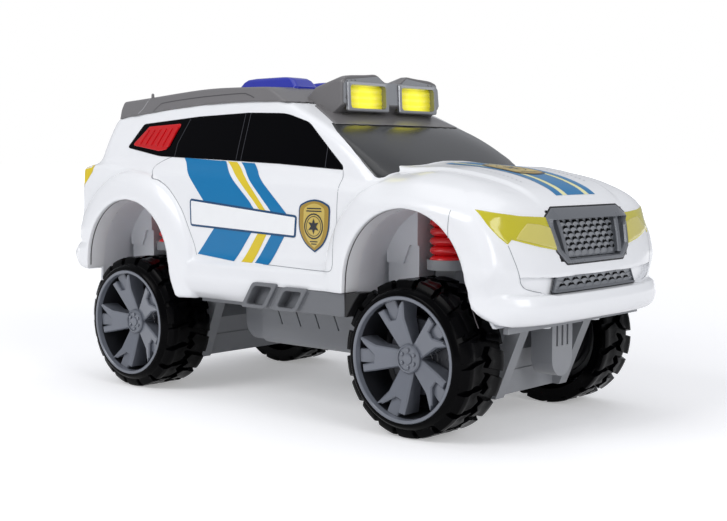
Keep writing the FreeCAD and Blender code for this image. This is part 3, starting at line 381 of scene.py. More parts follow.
def crossings(field, values, start, step, axis):
    """Grid edges along the axis that the surface cuts: their index, the point, and which start outside."""
    before = values[tuple(slice(0, -1) if i == axis else slice(None) for i in range(3))]
    after = values[tuple(slice(1, None) if i == axis else slice(None) for i in range(3))]
    crossed = (before < 0) != (after < 0)
    index, before, after = np.argwhere(crossed), before[crossed], after[crossed]
    points = start + index * step
    points[:, axis] += before / (before - after) * step
    points[:, axis] -= np.clip(field(*points.T) / ((after - before) / step), -0.3 * step, 0.3 * step)
    return index, points, before > 0


def cells_round(index, axis, cells):
    """Four cells round each grid edge along the axis, in turn, and which of them are in the grid."""
    ring, held = [], []
    for shift_b, shift_c in ((0, 0), (-1, 0), (-1, -1), (0, -1)):
        cell = index.copy()
        cell[:, (axis + 1) % 3] += shift_b
        cell[:, (axis + 2) % 3] += shift_c
        held.append(((cell >= 0) & (cell < cells)).all(1))
        ring.append(np.ravel_multi_index(np.clip(cell, 0, cells - 1).T, cells))
    return np.stack(ring, 1), np.stack(held, 1)


def meeting_points(owners, spots, ways):
    """For each cell, the point where the planes through its cuts meet, drawn to their middle."""
    hold = 0.06
    middle = np.stack([np.bincount(owners, spots[:, i]) for i in range(3)], 1)
    middle = middle / np.bincount(owners)[:, None]
    offset = (ways * (spots - middle[owners])).sum(1)
    matrix, right = np.empty((len(middle), 3, 3)), np.empty((len(middle), 3))
    for i in range(3):
        right[:, i] = np.bincount(owners, ways[:, i] * offset)
        for j in range(3):
            matrix[:, i, j] = np.bincount(owners, ways[:, i] * ways[:, j])
    matrix += np.eye(3) * hold
    return middle + np.linalg.solve(matrix, right[:, :, None])[:, :, 0]


def both_sides(verts, faces):
    """Add the mirror image in y, joined along the middle."""
    off = verts[:, 1] != 0
    twin = np.arange(len(verts))
    twin[off] = len(verts) + np.arange(off.sum())
    other = verts[off] * (1, -1, 1)
    return np.concatenate([verts, other]), np.concatenate([faces, twin[faces][:, ::-1]])


def corner_ways(field, verts, faces):
    """Surface direction at each face corner, read a little way into its face, so creases stay crisp."""
    inner = 0.72 * verts[faces] + 0.28 * verts[faces].mean(1)[:, None]
    return slope_of(field, inner.reshape(-1, 3))


def make_object(name, verts, faces, material, body="car", sharp=38, ways=None):
    """Object that rides on its body, with creases from an angle or from the ways of its face corners."""
    mesh = bpy.data.meshes.new(name)
    mesh.from_pydata((np.asarray(verts, float) * MM).tolist(), [], [list(face) for face in faces])
    mesh.validate(clean_customdata=False)
    mesh.shade_smooth()
    if ways is None:
        mesh.set_sharp_from_angle(angle=math.radians(sharp))
    else:
        mesh.normals_split_custom_set(ways.tolist())
    mesh.materials.append(material)
    thing = bpy.data.objects.new(name, mesh)
    bpy.context.scene.collection.objects.link(thing)
    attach(thing, body)
    return thing


def form_object(name, field, low, high, step, material, slot, *nodes):
    """Both halves of a form's surface, in place of the nodes."""
    verts, faces = contour(field, low, high, step)
    ways = corner_ways(field, verts, faces)
    turned = (ways * (1, -1, 1)).reshape(len(faces), 4, 3)[:, ::-1].reshape(-1, 3)
    verts, faces = both_sides(verts, faces)
    piece = make_object(name, verts, faces, material, ways=np.concatenate([ways, turned]))
    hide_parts(*nodes)


def rounded(points):
    """Closed outline from corners (a, b, radius), each radius drawn as a short arc."""
    result = []
    count = len(points)
    for i, (a, b, radius) in enumerate(points):
        here = np.array([a, b], float)
        before = np.array(points[i - 1][:2], float) - here
        after = np.array(points[(i + 1) % count][:2], float) - here
        len_before, len_after = np.linalg.norm(before), np.linalg.norm(after)
        before, after = before / len_before, after / len_after
        turn = math.acos(max(-1, min(1, float(before @ after))))
        cut = min(radius / max(math.tan(turn / 2), 0.02), 0.47 * len_before, 0.47 * len_after)
        if radius == 0 or cut < 0.02:
            result.append(tuple(here))
            continue
        first, last = here + before * cut, here + after * cut
        steps = max(3, int(math.degrees(math.pi - turn) / 9))
        for k in range(steps + 1):
            t = k / steps
            spot = first * (1 - t) ** 2 + here * 2 * t * (1 - t) + last * t * t
            result.append(tuple(spot))
    return result


def box_outline(a0, a1, b0, b1, radius):
    return rounded([(a0, b0, radius), (a1, b0, radius), (a1, b1, radius), (a0, b1, radius)])


def trapezium(low_half, low_z, high_half, high_z, low_radius=0.4, high_radius=0.5):
    """Four-sided outline, level at foot and top and alike on both sides of the middle."""
    return rounded([(-low_half, low_z, low_radius), (low_half, low_z, low_radius),
                    (high_half, high_z, high_radius), (-high_half, high_z, high_radius)])


def spaced(points, step, closed=True):
    """Outline with its long runs divided."""
    result = []
    stops = list(points) + ([points[0]] if closed else [])
    for first, last in zip(stops, stops[1:]):
        first, last = np.array(first, float), np.array(last, float)
        pieces = max(1, int(math.ceil(np.linalg.norm(last - first) / step)))
        result += [tuple(first + (last - first) * k / pieces) for k in range(pieces)]
    if not closed:
        result.append(tuple(stops[-1]))
    return result


def shrunk(points, inset):
    """Closed outline moved inwards square to its edge."""
    points = np.array(points, float)
    along = np.roll(points, -1, 0) - np.roll(points, 1, 0)
    along /= np.linalg.norm(along, axis=1, keepdims=True)
    area = 0.5 * np.sum(points[:, 0] * np.roll(points[:, 1], -1) - np.roll(points[:, 0], -1) * points[:, 1])
    way = np.stack([-along[:, 1], along[:, 0]], 1) * (1 if area > 0 else -1)
    return [tuple(p) for p in points + way * inset]


def filled(points, step):
    """Even triangles inside a closed outline. The outline's own points come first."""
    ring = np.array(points, float)
    low, high = ring.min(0), ring.max(0)
    a, b = np.meshgrid(np.arange(low[0], high[0], step), np.arange(low[1], high[1], step * 0.87))
    a = a + (np.arange(a.shape[0]) % 2)[:, None] * step / 2
    grid = np.stack([a.ravel(), b.ravel()], 1)
    start, end = ring, np.roll(ring, -1, 0)
    x, y = grid[:, 0][:, None], grid[:, 1][:, None]
    spans = (start[:, 1] > y) != (end[:, 1] > y)
    rise = np.where(end[:, 1] == start[:, 1], 1, end[:, 1] - start[:, 1])
    hits = spans & (x < (end[:, 0] - start[:, 0]) * (y - start[:, 1]) / rise + start[:, 0])
    along = end - start
    share = (x - start[:, 0]) * along[:, 0] + (y - start[:, 1]) * along[:, 1]
    share = np.clip(share / np.maximum((along ** 2).sum(1), 1e-9), 0, 1)
    gap = np.hypot(x - start[:, 0] - share * along[:, 0], y - start[:, 1] - share * along[:, 1]).min(1)
    grid = grid[(hits.sum(1) % 2 == 1) & (gap > 0.45 * step)]
    spots = [Vector(p) for p in ring.tolist()] + [Vector(p) for p in grid.tolist()]
    out = delaunay_2d_cdt(spots, [], [list(range(len(ring)))], 1, 1e-7)
    order = [source[0] if source else -1 for source in out[3]]
    new = list(range(len(spots), len(spots) + order.count(-1)))
    extra = [out[0][i] for i, source in enumerate(order) if source == -1]
    order = [new.pop(0) if source == -1 else source for source in order]
    flat = [tuple(p) for p in spots] + [tuple(p) for p in extra]
    return flat, [tuple(order[i] for i in face) for face in out[2]]


# Ways to lay a flat outline on the body. Each gives a point well outside and one well inside.
WAYS = {
    "side": (lambda a, b: (a, -100 + 0 * a, b), lambda a, b: (a, -25 + 0 * a, b)),
    "front": (lambda a, b: (205 + 0 * a, a, b), lambda a, b: (10 + 0 * a, a, b)),
    "back": (lambda a, b: (-205 + 0 * a, a, b), lambda a, b: (-60 + 0 * a, a, b)),
    "top": (lambda a, b: (a, b, 200 + 0 * a), lambda a, b: (a, b, 90 + 0 * a)),
}


def laid(points, way, lift, field=outer_form):
    """Points of a flat outline moved along the way until they stand the lift above the field."""
    a, b = np.array(points, float).T
    outside = np.stack(np.broadcast_arrays(*WAYS[way][0](a, b)), 1).astype(float)
    inside = np.stack(np.broadcast_arrays(*WAYS[way][1](a, b)), 1).astype(float)
    for _ in range(28):
        middle = (outside + inside) / 2
        out = (field(*middle.T) > lift)[:, None]
        outside = np.where(out, middle, outside)
        inside = np.where(out, inside, middle)
    return (outside + inside) / 2


def facing(verts, faces, field):
    """Faces turned so that they look out of the field."""
    verts, result = np.asarray(verts), []
    middles = np.array([verts[list(face)].mean(0) for face in faces])
    ways = slope_of(field, middles)
    for face, out in zip(faces, ways):
        a, b, c = verts[face[0]], verts[face[1]], verts[face[2]]
        result.append(face if np.cross(b - a, c - a) @ out > 0 else face[::-1])
    return result


def sheet(outline, way, lift, step=2.5, field=outer_form):
    """Thin sheet that follows the body inside an outline."""
    flat, faces = filled(spaced(outline, step), step)
    verts = laid(flat, way, lift, field)
    return verts, facing(verts, faces, field)


def slab(outline, way, lift, skirt, bevel, step=2.5, field=outer_form):
    """Sheet with a rounded rim that goes down to the skirt."""
    rim = spaced(outline, step)
    rings = [(rim, -skirt), (rim, lift - bevel), (shrunk(rim, bevel * 0.3), lift - bevel * 0.3)]
    flat, faces = filled(shrunk(rim, bevel), step)
    verts = [laid(flat, way, lift, field)]
    base = len(flat)
    count = len(rim)
    inner = list(range(count))
    for ring, level in reversed(rings):
        verts.append(laid(ring, way, level, field))
        outer = list(range(base, base + count))
        faces += [(inner[i], inner[(i + 1) % count], outer[(i + 1) % count], outer[i]) for i in range(count)]
        inner = outer
        base += count
    verts = np.concatenate(verts)
    return verts, facing_out(verts, faces, count, field)


def facing_out(verts, faces, count, field):
    """Top faces turned out of the field, and rim faces turned away from the slab's middle."""
    top = [face for face in faces if len(face) == 3]
    rim = [face for face in faces if len(face) == 4]
    top = facing(verts, top, field)
    centre = verts[:count].mean(0)
    turned = []
    for face in rim:
        a, b, c = (verts[i] for i in face[:3])
        out = (a + c) / 2 - centre
        way = slope_of(field, ((a + c) / 2)[None])[0]
        normal = np.cross(b - a, c - b)
        level = out - way * (out @ way)
        aim = level / max(np.linalg.norm(level), 1e-9) + 0.4 * way
        turned.append(face if normal @ aim > 0 else face[::-1])
    return top + turned


def ribbon(line, way, width, lift, step=1.6, field=outer_form):
    """Narrow strip that follows a line on the body."""
    line = np.array(spaced(line, step, closed=False), float)
    along = np.gradient(line, axis=0)
    along /= np.linalg.norm(along, axis=1, keepdims=True)
    across = np.stack([-along[:, 1], along[:, 0]], 1) * width / 2
    count = len(line)
    verts = laid(np.concatenate([line + across, line - across]), way, lift, field)
    faces = [(i, i + 1, count + i + 1, count + i) for i in range(count - 1)]
    return verts, facing(verts, faces, field)


def smooth_line(points, pieces=8):
    """Rounder line through the points."""
    points = [np.array(p, float) for p in points]
    ends = [2 * points[0] - points[1]] + points + [2 * points[-1] - points[-2]]
    result = []
    for i in range(1, len(ends) - 2):
        p0, p1, p2, p3 = ends[i - 1:i + 3]
        for k in range(pieces):
            t = k / pieces
            result.append(tuple(0.5 * ((2 * p1) + (p2 - p0) * t + (2 * p0 - 5 * p1 + 4 * p2 - p3) * t * t
                                       + (3 * p1 - p0 - 3 * p2 + p3) * t ** 3)))
    return result + [tuple(points[-1])]


def gathered(parts):
    """Several vertex and face lists as one."""
    verts, faces, base = [], [], 0
    for part_verts, part_faces in parts:
        verts.append(np.asarray(part_verts, float))
        faces += [tuple(int(i) + base for i in face) for face in part_faces]
        base += len(part_verts)
    return np.concatenate(verts), faces


def swapped(part):
    """Mirror image in y."""
    verts, faces = part
    return np.asarray(verts) * (1, -1, 1), [tuple(face)[::-1] for face in faces]


def pair(name, part, material, slot, node=None, body="car", **more):
    """A right-hand piece and its mirror image, each in place of its node if one is named."""
    for side, half in zip(SIDES, (part, swapped(part))):
        piece = make_object(name + "_" + side, *half, material, body, **more)
        if node:
            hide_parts(node + "_" + side)


def single(name, part, material, slot, node=None, **more):
    """A piece on the middle of the car, in place of its node if one is named."""
    piece = make_object(name, *part, material, **more)
    if node:
        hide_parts(node)


def lathe(profile, segments, axis="y"):
    """Profile of (radius, height) points turned about an axis, closed where it starts and ends on it."""
    profile = np.array(profile, float)
    angle = np.arange(segments) * 2 * math.pi / segments
    radius, height = profile[:, 0][:, None], profile[:, 1][:, None]
    a, b, c = radius * np.cos(angle), height + 0 * angle, radius * np.sin(angle)
    verts = np.stack([a, b, c] if axis == "y" else [a, -c, b], 2).reshape(-1, 3)
    return verts, ring_faces(len(profile), segments)


def ring_faces(rings, count):
    """Faces between closed rings of as many points each, one ring after the other."""
    steps = [(i, (i + 1) % count) for i in range(count)]
    return [(k * count + i, k * count + n, (k + 1) * count + n, (k + 1) * count + i)
            for k in range(rings - 1) for i, n in steps]


def grid_faces(rows, columns):
    """Faces of an open grid of points, row after row."""
    return [(j * columns + i, j * columns + i + 1, (j + 1) * columns + i + 1, (j + 1) * columns + i)
            for j in range(rows - 1) for i in range(columns - 1)]


def circle(a, b, radius, count=12):
    """Points round a circle."""
    turns = [2 * math.pi * k / count for k in range(count)]
    return [(a + radius * math.cos(t), b + radius * math.sin(t)) for t in turns]


def plate(outline, low, high, chamfer, place):
    """Raised plate over an outline, with a chamfer round its top."""
    count, edge = len(outline), high - math.copysign(chamfer, high - low)
    rings = [(outline, low), (outline, edge), (shrunk(outline, chamfer), high)]
    verts = np.array([place(a, b, level) for ring, level in rings for a, b in ring], float)
    return verts, outward(verts, ring_faces(3, count) + [tuple(range(2 * count, 3 * count))])


def outward(verts, faces):
    """Faces of a star-shaped closed part turned away from its middle."""
    centre, result = verts.mean(0), []
    for face in faces:
        ring = verts[list(face)]
        arms = ring[1:] - ring[0]
        normal = np.cross(arms[:-1], arms[1:]).sum(0)
        result.append(face if normal @ (ring.mean(0) - centre) > 0 else face[::-1])
    return result


# Materials

def paint(code):
    """Linear colour from a hex code."""
    parts = [int(code[i:i + 2], 16) / 255 for i in (1, 3, 5)]
    return [p / 12.92 if p <= 0.04045 else ((p + 0.055) / 1.055) ** 2.4 for p in parts] + [1]


def wired(tree, kind, inputs=None, **choices):
    """New shader node with its choices made and each input set to a value or linked to an output."""
    node = tree.nodes.new(kind)
    for name, value in choices.items():
        setattr(node, name, value)
    for key, value in (inputs or {}).items():
        if isinstance(value, bpy.types.NodeSocket):
            tree.links.new(value, node.inputs[key])
        else:
            node.inputs[key].default_value = value
    return node


def moulded_finish():
    """Node group: slow colour variation, roughness variation and fine moulded grain."""
    name = "moulded_finish"
    if name in bpy.data.node_groups:
        return bpy.data.node_groups[name]
    group = bpy.data.node_groups.new(name, "ShaderNodeTree")
    for socket, value in (("Colour", (1, 1, 1, 1)), ("Variation", 0.04), ("Roughness", 0.3),
                          ("Roughness Spread", 0.05), ("Patch Scale", 60), ("Grain Scale", 2500)):
        kind = "NodeSocketColor" if socket == "Colour" else "NodeSocketFloat"
        group.interface.new_socket(name=socket, in_out="INPUT", socket_type=kind).default_value = value
    for socket in ("Colour", "Roughness", "Height"):
        kind = "NodeSocketColor" if socket == "Colour" else "NodeSocketFloat"
        group.interface.new_socket(name=socket, in_out="OUTPUT", socket_type=kind)
    given = wired(group, "NodeGroupInput").outputs
    place = wired(group, "ShaderNodeTexCoord").outputs["Object"]
    patches, grain = [
        wired(group, "ShaderNodeTexNoise", {"Vector": place, "Scale": given[scale], "Detail": detail})
        for scale, detail in (("Patch Scale", 4), ("Grain Scale", 3))]
    centred = wired(group, "ShaderNodeMath", {0: patches.outputs["Fac"], 1: 0.5}, operation="SUBTRACT")
    tint = wired(group, "ShaderNodeMath", {0: centred.outputs[0], 1: given["Variation"], 2: 1},
                 operation="MULTIPLY_ADD")
    scaled = wired(group, "ShaderNodeVectorMath", {0: given["Colour"], "Scale": tint.outputs[0]},
                   operation="SCALE")
    rough = wired(group, "ShaderNodeMath", {0: centred.outputs[0], 1: given["Roughness Spread"],
                                            2: given["Roughness"]}, operation="MULTIPLY_ADD")
    wired(group, "NodeGroupOutput", {"Colour": scaled.outputs["Vector"], "Roughness": rough.outputs[0],
                                     "Height": grain.outputs["Fac"]})
    return group


def plastic(name, code, roughness, coat=0.0, grain=0.02, variation=0.05, patch=60, size=2500, **extra):
    """Moulded plastic with its own gloss, grain and slight unevenness, made once for each name."""
    if name in bpy.data.materials:
        return bpy.data.materials[name]
    material = bpy.data.materials.new(name)
    material.use_nodes = True
    tree = material.node_tree
    shader = tree.nodes["Principled BSDF"]
    finish = wired(tree, "ShaderNodeGroup", node_tree=moulded_finish())
    for socket, value in (("Colour", paint(code)), ("Variation", variation), ("Roughness", roughness),
                          ("Roughness Spread", 0.06), ("Patch Scale", patch), ("Grain Scale", size)):
        finish.inputs[socket].default_value = value
    tree.links.new(finish.outputs["Colour"], shader.inputs["Base Color"])
    tree.links.new(finish.outputs["Roughness"], shader.inputs["Roughness"])
    bump = wired(tree, "ShaderNodeBump", {"Strength": grain, "Distance": 0.0004,
                                          "Height": finish.outputs["Height"]})
    tree.links.new(bump.outputs["Normal"], shader.inputs["Normal"])
    shader.inputs["Coat Weight"].default_value = coat
    shader.inputs["Coat Roughness"].default_value = 0.08
    for socket, value in extra.items():
        shader.inputs[socket.replace("_", " ")].default_value = value
    material.diffuse_color = paint(code)
    return material


def lit_lens(name, code, glow_code, strength, centre, reach):
    """Ribbed lens that is bright in its middle, as with a small lamp behind it."""
    material = plastic(name, code, 0.18, coat=0.6, grain=0.05)
    tree = material.node_tree
    place = wired(tree, "ShaderNodeTexCoord").outputs["Object"]
    mirrored = wired(tree, "ShaderNodeVectorMath", {0: place}, operation="ABSOLUTE")
    apart = wired(tree, "ShaderNodeVectorMath", {0: mirrored.outputs[0], 1: centre}, operation="DISTANCE")
    fade = wired(tree, "ShaderNodeMapRange",
                 {"Value": apart.outputs["Value"], "From Min": 0, "From Max": reach,
                  "To Min": 1, "To Max": 0.05}, interpolation_type="SMOOTHSTEP")
    glow = wired(tree, "ShaderNodeMix", {"A": (0, 0, 0, 1), "B": paint(glow_code),
                                         "Factor": fade.outputs["Result"]}, data_type="RGBA")
    shader = tree.nodes["Principled BSDF"]
    tree.links.new(glow.outputs["Result"], shader.inputs["Emission Color"])
    shader.inputs["Emission Strength"].default_value = strength
    return material


def white_plastic():
    return plastic("white_plastic", settings().body_colour, 0.24, coat=0.35, grain=0.012, variation=0.03)


def decal_film(colour):
    """Thin printed film in one of the decal colours."""
    look = settings()
    codes = {"blue": look.stripe_blue, "yellow": look.stripe_yellow, "navy": look.outline_navy,
             "white": "#F4F5F6", "pale_yellow": "#EEEBB0", "gold": "#A88A3A", "dark": "#2B2E35"}
    return plastic("decal_" + colour, codes[colour], 0.3, coat=0.05, grain=0.02, variation=0.05, patch=200,
                   Specular_IOR_Level=0.3)


def settings():
    return bpy.context.scene.toy_car_settings


# Sizes and colours that a user would change

def hex_colour(label, part, default):
    return bpy.props.StringProperty(name=label, description="Hex colour of the " + part, default=default)


class ToyCarSettings(bpy.types.PropertyGroup):
    body_colour: hex_colour("Body", "white moulding", "#F1F2F4")
    stripe_blue: hex_colour("Stripe blue", "blue stripes", "#0074AC")
    stripe_yellow: hex_colour("Stripe yellow", "yellow stripe", "#E0C62E")
    outline_navy: hex_colour("Outline navy", "decal outlines", "#17466F")
    roof_colour: hex_colour("Roof", "roof moulding", "#6E6C6D")
    chassis_colour: hex_colour("Chassis", "chassis", "#898B8F")
    rim_colour: hex_colour("Rims", "rims", "#70747D")
    lamp_colour: hex_colour("Headlamps", "headlamps", "#C6BC1C")
    skin_step: bpy.props.FloatProperty(
        name="Skin step", description="Spacing of the points of the moulded body",
        default=0.0015, min=0.0008, max=0.004, subtype="DISTANCE", unit="LENGTH")
    decal_lift: bpy.props.FloatProperty(
        name="Decal lift", description="Height of the decals above the skin",
        default=0.00012, min=0.00002, max=0.0003, subtype="DISTANCE", unit="LENGTH")
    tread_blocks: bpy.props.IntProperty(
        name="Tread blocks", description="Blocks round each half of a tyre", default=18, min=12, max=30)


# Moulded skins

def build_body():
    step = settings().skin_step / MM
    low, high = (-167.5, -78, SHELL_LOW_Z), (167.5, 0, SHELL_HIGH_Z)
    form_object("moulded_body", body_form, low, high, step, white_plastic(), "white_shell", "body_shell")


def roof_plastic():
    return plastic("moulded_roof", settings().roof_colour, 0.36, coat=0.15, grain=0.05, variation=0.06)


def build_roof():
    step = 1.2
    grey = roof_plastic()
    form_object("moulded_roof", roof_form, (-145, -62, 145), (52, 0, 173), step, grey,
                "roof_grey", "roof_moulding")
    form_object("roof_lamp_housing", pod_form, (0, -48, 150), (34, 0, 177), 0.6 * step, grey,
                "roof_grey", "lamp_pod")
    build_roof_lines(grey)
    build_pod_lamps()
    build_beacons()


def build_roof_lines(grey):
    """Shadow along each rail, painted highlight along the seam of the spoiler, and the nub at each rail's
    end.
    """
    rail = smooth_line([(-101.2, 157.6), (-98.2, 161.2), (-93.4, 163.0), (-64.2, 165.0), (-31.9, 165.9),
                        (-24.8, 165.1), (-18.7, 163.2)])
    dark = plastic("rail_shadow", "#3E3D3F", 0.5, grain=0.02)
    pair("roof_rail_line", ribbon(rail, "side", 0.5, 0.06, field=roof_form), dark, "roof_grey")
    # pale grey line on the spoiler seam: painted highlight
    light = plastic("seam_highlight", "#B9B9BB", 0.4, grain=0.02)
    seam = ribbon([(-111, 165.6), (-112.2, 160), (-114.5, 157)], "side", 0.45, 0.06, field=roof_form)
    pair("spoiler_seam", seam, light, "roof_grey")
    nub_x, nub_y = -109, -51
    nub, faces = lathe([(0, 164), (1.1, 164), (0.8, 168.3), (0.3, 168.8), (0, 168.9)], 24, "z")
    pair("roof_nub", (nub + (nub_x, nub_y, 0), faces), grey, "roof_grey")


def pod_place(a, b, level):
    """Point of the roof lamps' front view, the level in front of the housing."""
    return (POD_FACE_X - (b - POD_FOOT_Z) * 0.05 + level, a, b)


def build_pod_lamps():
    silver = plastic("brushed_silver", "#A3A5A8", 0.3, coat=0.2, grain=0.1, size=900, Metallic=0.7)
    yellow = lit_lens("lit_yellow_lens", "#D9CC20", "#F2EC30", 0.9, (0.030, 0.0205, 0.162), 0.017)
    outer = box_outline(-37.0, -4.2, 155.4, 171.0, 1.6)
    inner = box_outline(-34.6, -6.6, 157.0, 169.2, 2.2)
    rings = [(outer, -0.6), (outer, 0.7), (shrunk(outer, 0.5), 1.1), (inner, 0.9), (inner, -3.2)]
    bezel = np.array([pod_place(a, b, level) for ring, level in rings for a, b in ring])
    pair("roof_lamp_bezel", (bezel, ring_faces(len(rings), len(outer))), silver, "silver", "pod_bezel")
    pair("roof_lamp_lens", pod_lens(), yellow, "yellow_lens", "pod_lens", sharp=60)
    single("roof_lamp_face", pod_face(), silver, "silver")


def pod_lens():
    """Lens of a roof lamp, with four ribs across and three pillows along."""
    rows, columns, depth = 27, 57, 2.6
    y, z = np.meshgrid(np.linspace(-34.8, -6.4, columns), np.linspace(156.8, 169.4, rows))
    rib = 0.55 * np.abs(np.sin((z - 155.4) / 13.2 * math.pi * 4)) ** 0.6
    pillow = 0.35 * np.abs(np.sin((y + 34.6) / 28.2 * math.pi * 3)) ** 0.5
    verts = np.stack(pod_place(y, z, rib + pillow - depth), 2).reshape(-1, 3)
    return verts, grid_faces(rows, columns)


def pod_face():
    """Silver face of the housing, open where the two lamps are."""
    outline = rounded([(-39.8, 159.6, 1), (39.8, 159.6, 1), (39.2, 169.4, 1.5), (36.6, 171.6, 1),
                       (12, 174.2, 2), (7.4, 171.1, 2), (-7.4, 171.1, 2), (-12, 174.2, 2),
                       (-36.6, 171.6, 1), (-39.2, 169.4, 1.5)])
    flat, faces = filled(spaced(outline, 3), 3)
    verts = np.array([pod_place(a, b, 0.12) for a, b in flat])
    shown = []
    for face in faces:
        y, z = np.mean([flat[i] for i in face], 0)
        if 4.3 < abs(y) < 36.8 and 155.6 < z < 170.8:
            continue
        a, b, c = verts[list(face[:3])]
        shown.append(face if np.cross(b - a, c - a)[0] > 0 else face[::-1])
    return verts, shown


def build_beacons():
    blue = plastic("beacon_blue", "#18249A", 0.12, coat=0.15, grain=0.02, variation=0.3, patch=90,
                   Emission_Color=(0.02, 0.04, 0.5, 1), Emission_Strength=0.15)
    base_z, end_slope, side_slope = 168.4, 2.6, 0.75
    verts, rings = [], ((0, 0), (0, 1.4), (0.5, 2.0), (1.6, 5.0), (2.6, 6.4), (4.4, 7.0))
    for grow, rise in rings:
        end, side = end_slope * grow, side_slope * grow
        ring = box_outline(-56 + end, -8.2 - end, -34.2 + side, -15.6 - side, 3)
        verts += [(a, b, base_z + rise) for a, b in ring]
    verts, count = np.array(verts), len(ring)
    faces = ring_faces(len(rings), count) + [tuple(range(len(verts) - count, len(verts)))]
    pair("beacon_lens", (verts, outward(verts, faces)), blue, "blue_lens", "beacon", sharp=50)


# Glazing and lamps

SIDE_WINDOW = [(-119.4, 137.4, 1.5), (-107.4, 151.0, 4), (-60, 154.2, 60), (-20.1, 155.3, 60),
               (8.0, 154.3, 40), (25.5, 149.3, 14), (52.7, 127.4, 1.2), (53.4, 125.2, 1), (8.8, 128.1, 80),
               (-37.7, 130.2, 80), (-88.8, 132.3, 60)]
PILLARS = [[(-22.5, 154.6), (-24.6, 130.4)], [(-18.6, 154.8), (-20.8, 130.2)],
           [(-66.7, 153.2), (-74.5, 139.5), (-75.5, 132)], [(41.2, 136.4), (41.2, 126.4)]]
SCREEN = [(-63.1, 121.5, 1), (63.1, 121.5, 1), (62.4, 127.7, 40), (61.1, 133.5, 40), (58.9, 139.5, 40),
          (56.3, 144.6, 12), (51.2, 148.9, 1), (-51.2, 148.9, 1), (-56.3, 144.6, 12), (-58.9, 139.5, 40),
          (-61.1, 133.5, 40), (-62.4, 127.7, 40)]
TAIL_LAMP = [(-101.8, 149.4, 1.2), (-114.6, 138.8, 1.4), (-89.5, 135.2, 2), (-83.4, 136.0, 2),
             (-73.3, 150.6, 1.4)]
HEADLAMP = [(-31.9, 88.9, 0.6), (-43.9, 90.9, 30), (-53.5, 93.1, 20), (-60.1, 94.8, 0.6),
            (-62.6, 92.8, 0.6), (-66.2, 96.4, 10), (-69.4, 101.6, 12), (-69.6, 108.4, 0.5),
            (-64.5, 106.8, 20), (-52.8, 105.1, 30), (-34.9, 104.1, 0.4)]
FACET = [(-32.4, 89.5, 0.5), (-58.2, 95.0, 0.5), (-54.5, 98.4, 3), (-49.4, 101.8, 3), (-40.6, 100.9, 8),
         (-34.4, 99.4, 0.6)]


def build_glazing():
    gloss = plastic("black_glass", "#020204", 0.08, grain=0.004, variation=0.1, Specular_IOR_Level=0.05)
    grey = plastic("screen_grey", "#2E2F30", 0.2, coat=0.1, grain=0.006, variation=0.08)
    window = slab(rounded(SIDE_WINDOW), "side", 0.35, 0.8, 0.35)
    pair("side_glass", window, gloss, "side_glass", "side_window")
    screen = slab(rounded(SCREEN), "front", 0.35, 1.5, 0.3, field=upper_form)
    single("front_screen", screen, grey, "screen", "windscreen")
    rear = slab(trapezium(50, 137, 43, 151, 2, 2), "back", 0.3, 0.8, 0.3)
    single("rear_glass", rear, gloss, "side_glass", "rear_window")
    lines = gathered([ribbon(line, "side", 0.45, 0.37) for line in PILLARS])
    pair("pillar_lines", lines, plastic("pillar_line", "#2A2B31", 0.2, grain=0.01), "side_glass")


def build_lamps():
    yellow = plastic("headlamp_yellow", settings().lamp_colour, 0.16, coat=0.6, grain=0.01, variation=0.12,
                     patch=30)
    # paler copy of the headlamp yellow for the raised facet: painted highlight
    pale = plastic("headlamp_facet_highlight", "#D0C566", 0.2, coat=0.4, grain=0.02, variation=0.14, patch=40)
    red = plastic("tail_red", "#C40C14", 0.15, coat=0.12, grain=0.01, variation=0.1, Specular_IOR_Level=0.3)
    lens = slab(rounded(HEADLAMP), "front", 0.35, 1.0, 0.35)
    pair("headlamp_lens", lens, yellow, "yellow_lens", "headlamp")
    pair("headlamp_facet", slab(rounded(FACET), "front", 0.85, 0.1, 0.4), pale, "yellow_lens")
    tail = slab(rounded(TAIL_LAMP), "side", 0.8, 0.6, 0.4)
    pair("tail_lamp_lens", tail, red, "red_lens", "tail_lamp")
    ribs = []
    for i in range(6):
        x, low, high = -107.5 + 5.1 * i, 139.1 - 0.35 * i, 147.4 + 0.2 * i
        outline = rounded([(x - 1.6, low + 0.3, 0.8), (x + 0.5, low, 0.8), (x + 7.0, high + 0.2, 0.8),
                           (x + 4.9, high, 0.8)])
        ribs.append(slab(outline, "side", 1.35, 0.0, 0.5))
    pair("tail_lamp_ribs", gathered(ribs), red, "red_lens")


# Grilles

GRILLE = [(-29.2, 108.0, 0.6), (-35.7, 104.0, 0.6), (-32.0, 88.5, 0.8), (-25.1, 82.5, 0.8),
          (25.1, 82.5, 0.8), (32.0, 88.5, 0.8), (35.7, 104.0, 0.6), (29.2, 108.0, 0.6)]
# Each set of scales: half width and height of its patch at foot and top, pitch across and up, depth, relief
NOSE_SCALES = ((28.5, 84.9), (32.5, 103.2)), (5.86, 2.62), 2.9, 0.8
BUMPER_SCALES = ((37.0, 70.0), (33.8, 77.3)), (7.2, 2.3), 1.5, 0.6
SCALE_RISE = 0.62


def nose_x(y, z):
    """How far forward the nose is at points of the front view."""
    return laid(np.stack([np.ravel(y), np.ravel(z)], 1), "front", 0.0)[:, 0]


def ring_on_nose(outline, lift):
    """Outline of the front view laid on the nose and moved forwards."""
    a, b = np.array(outline, float).T
    return np.stack([nose_x(a, b) + lift, a, b], 1)


def scale_rows(low_z, high_z, pitch_z):
    return range(int(low_z / pitch_z) - 1, int(high_z / pitch_z) + 3)


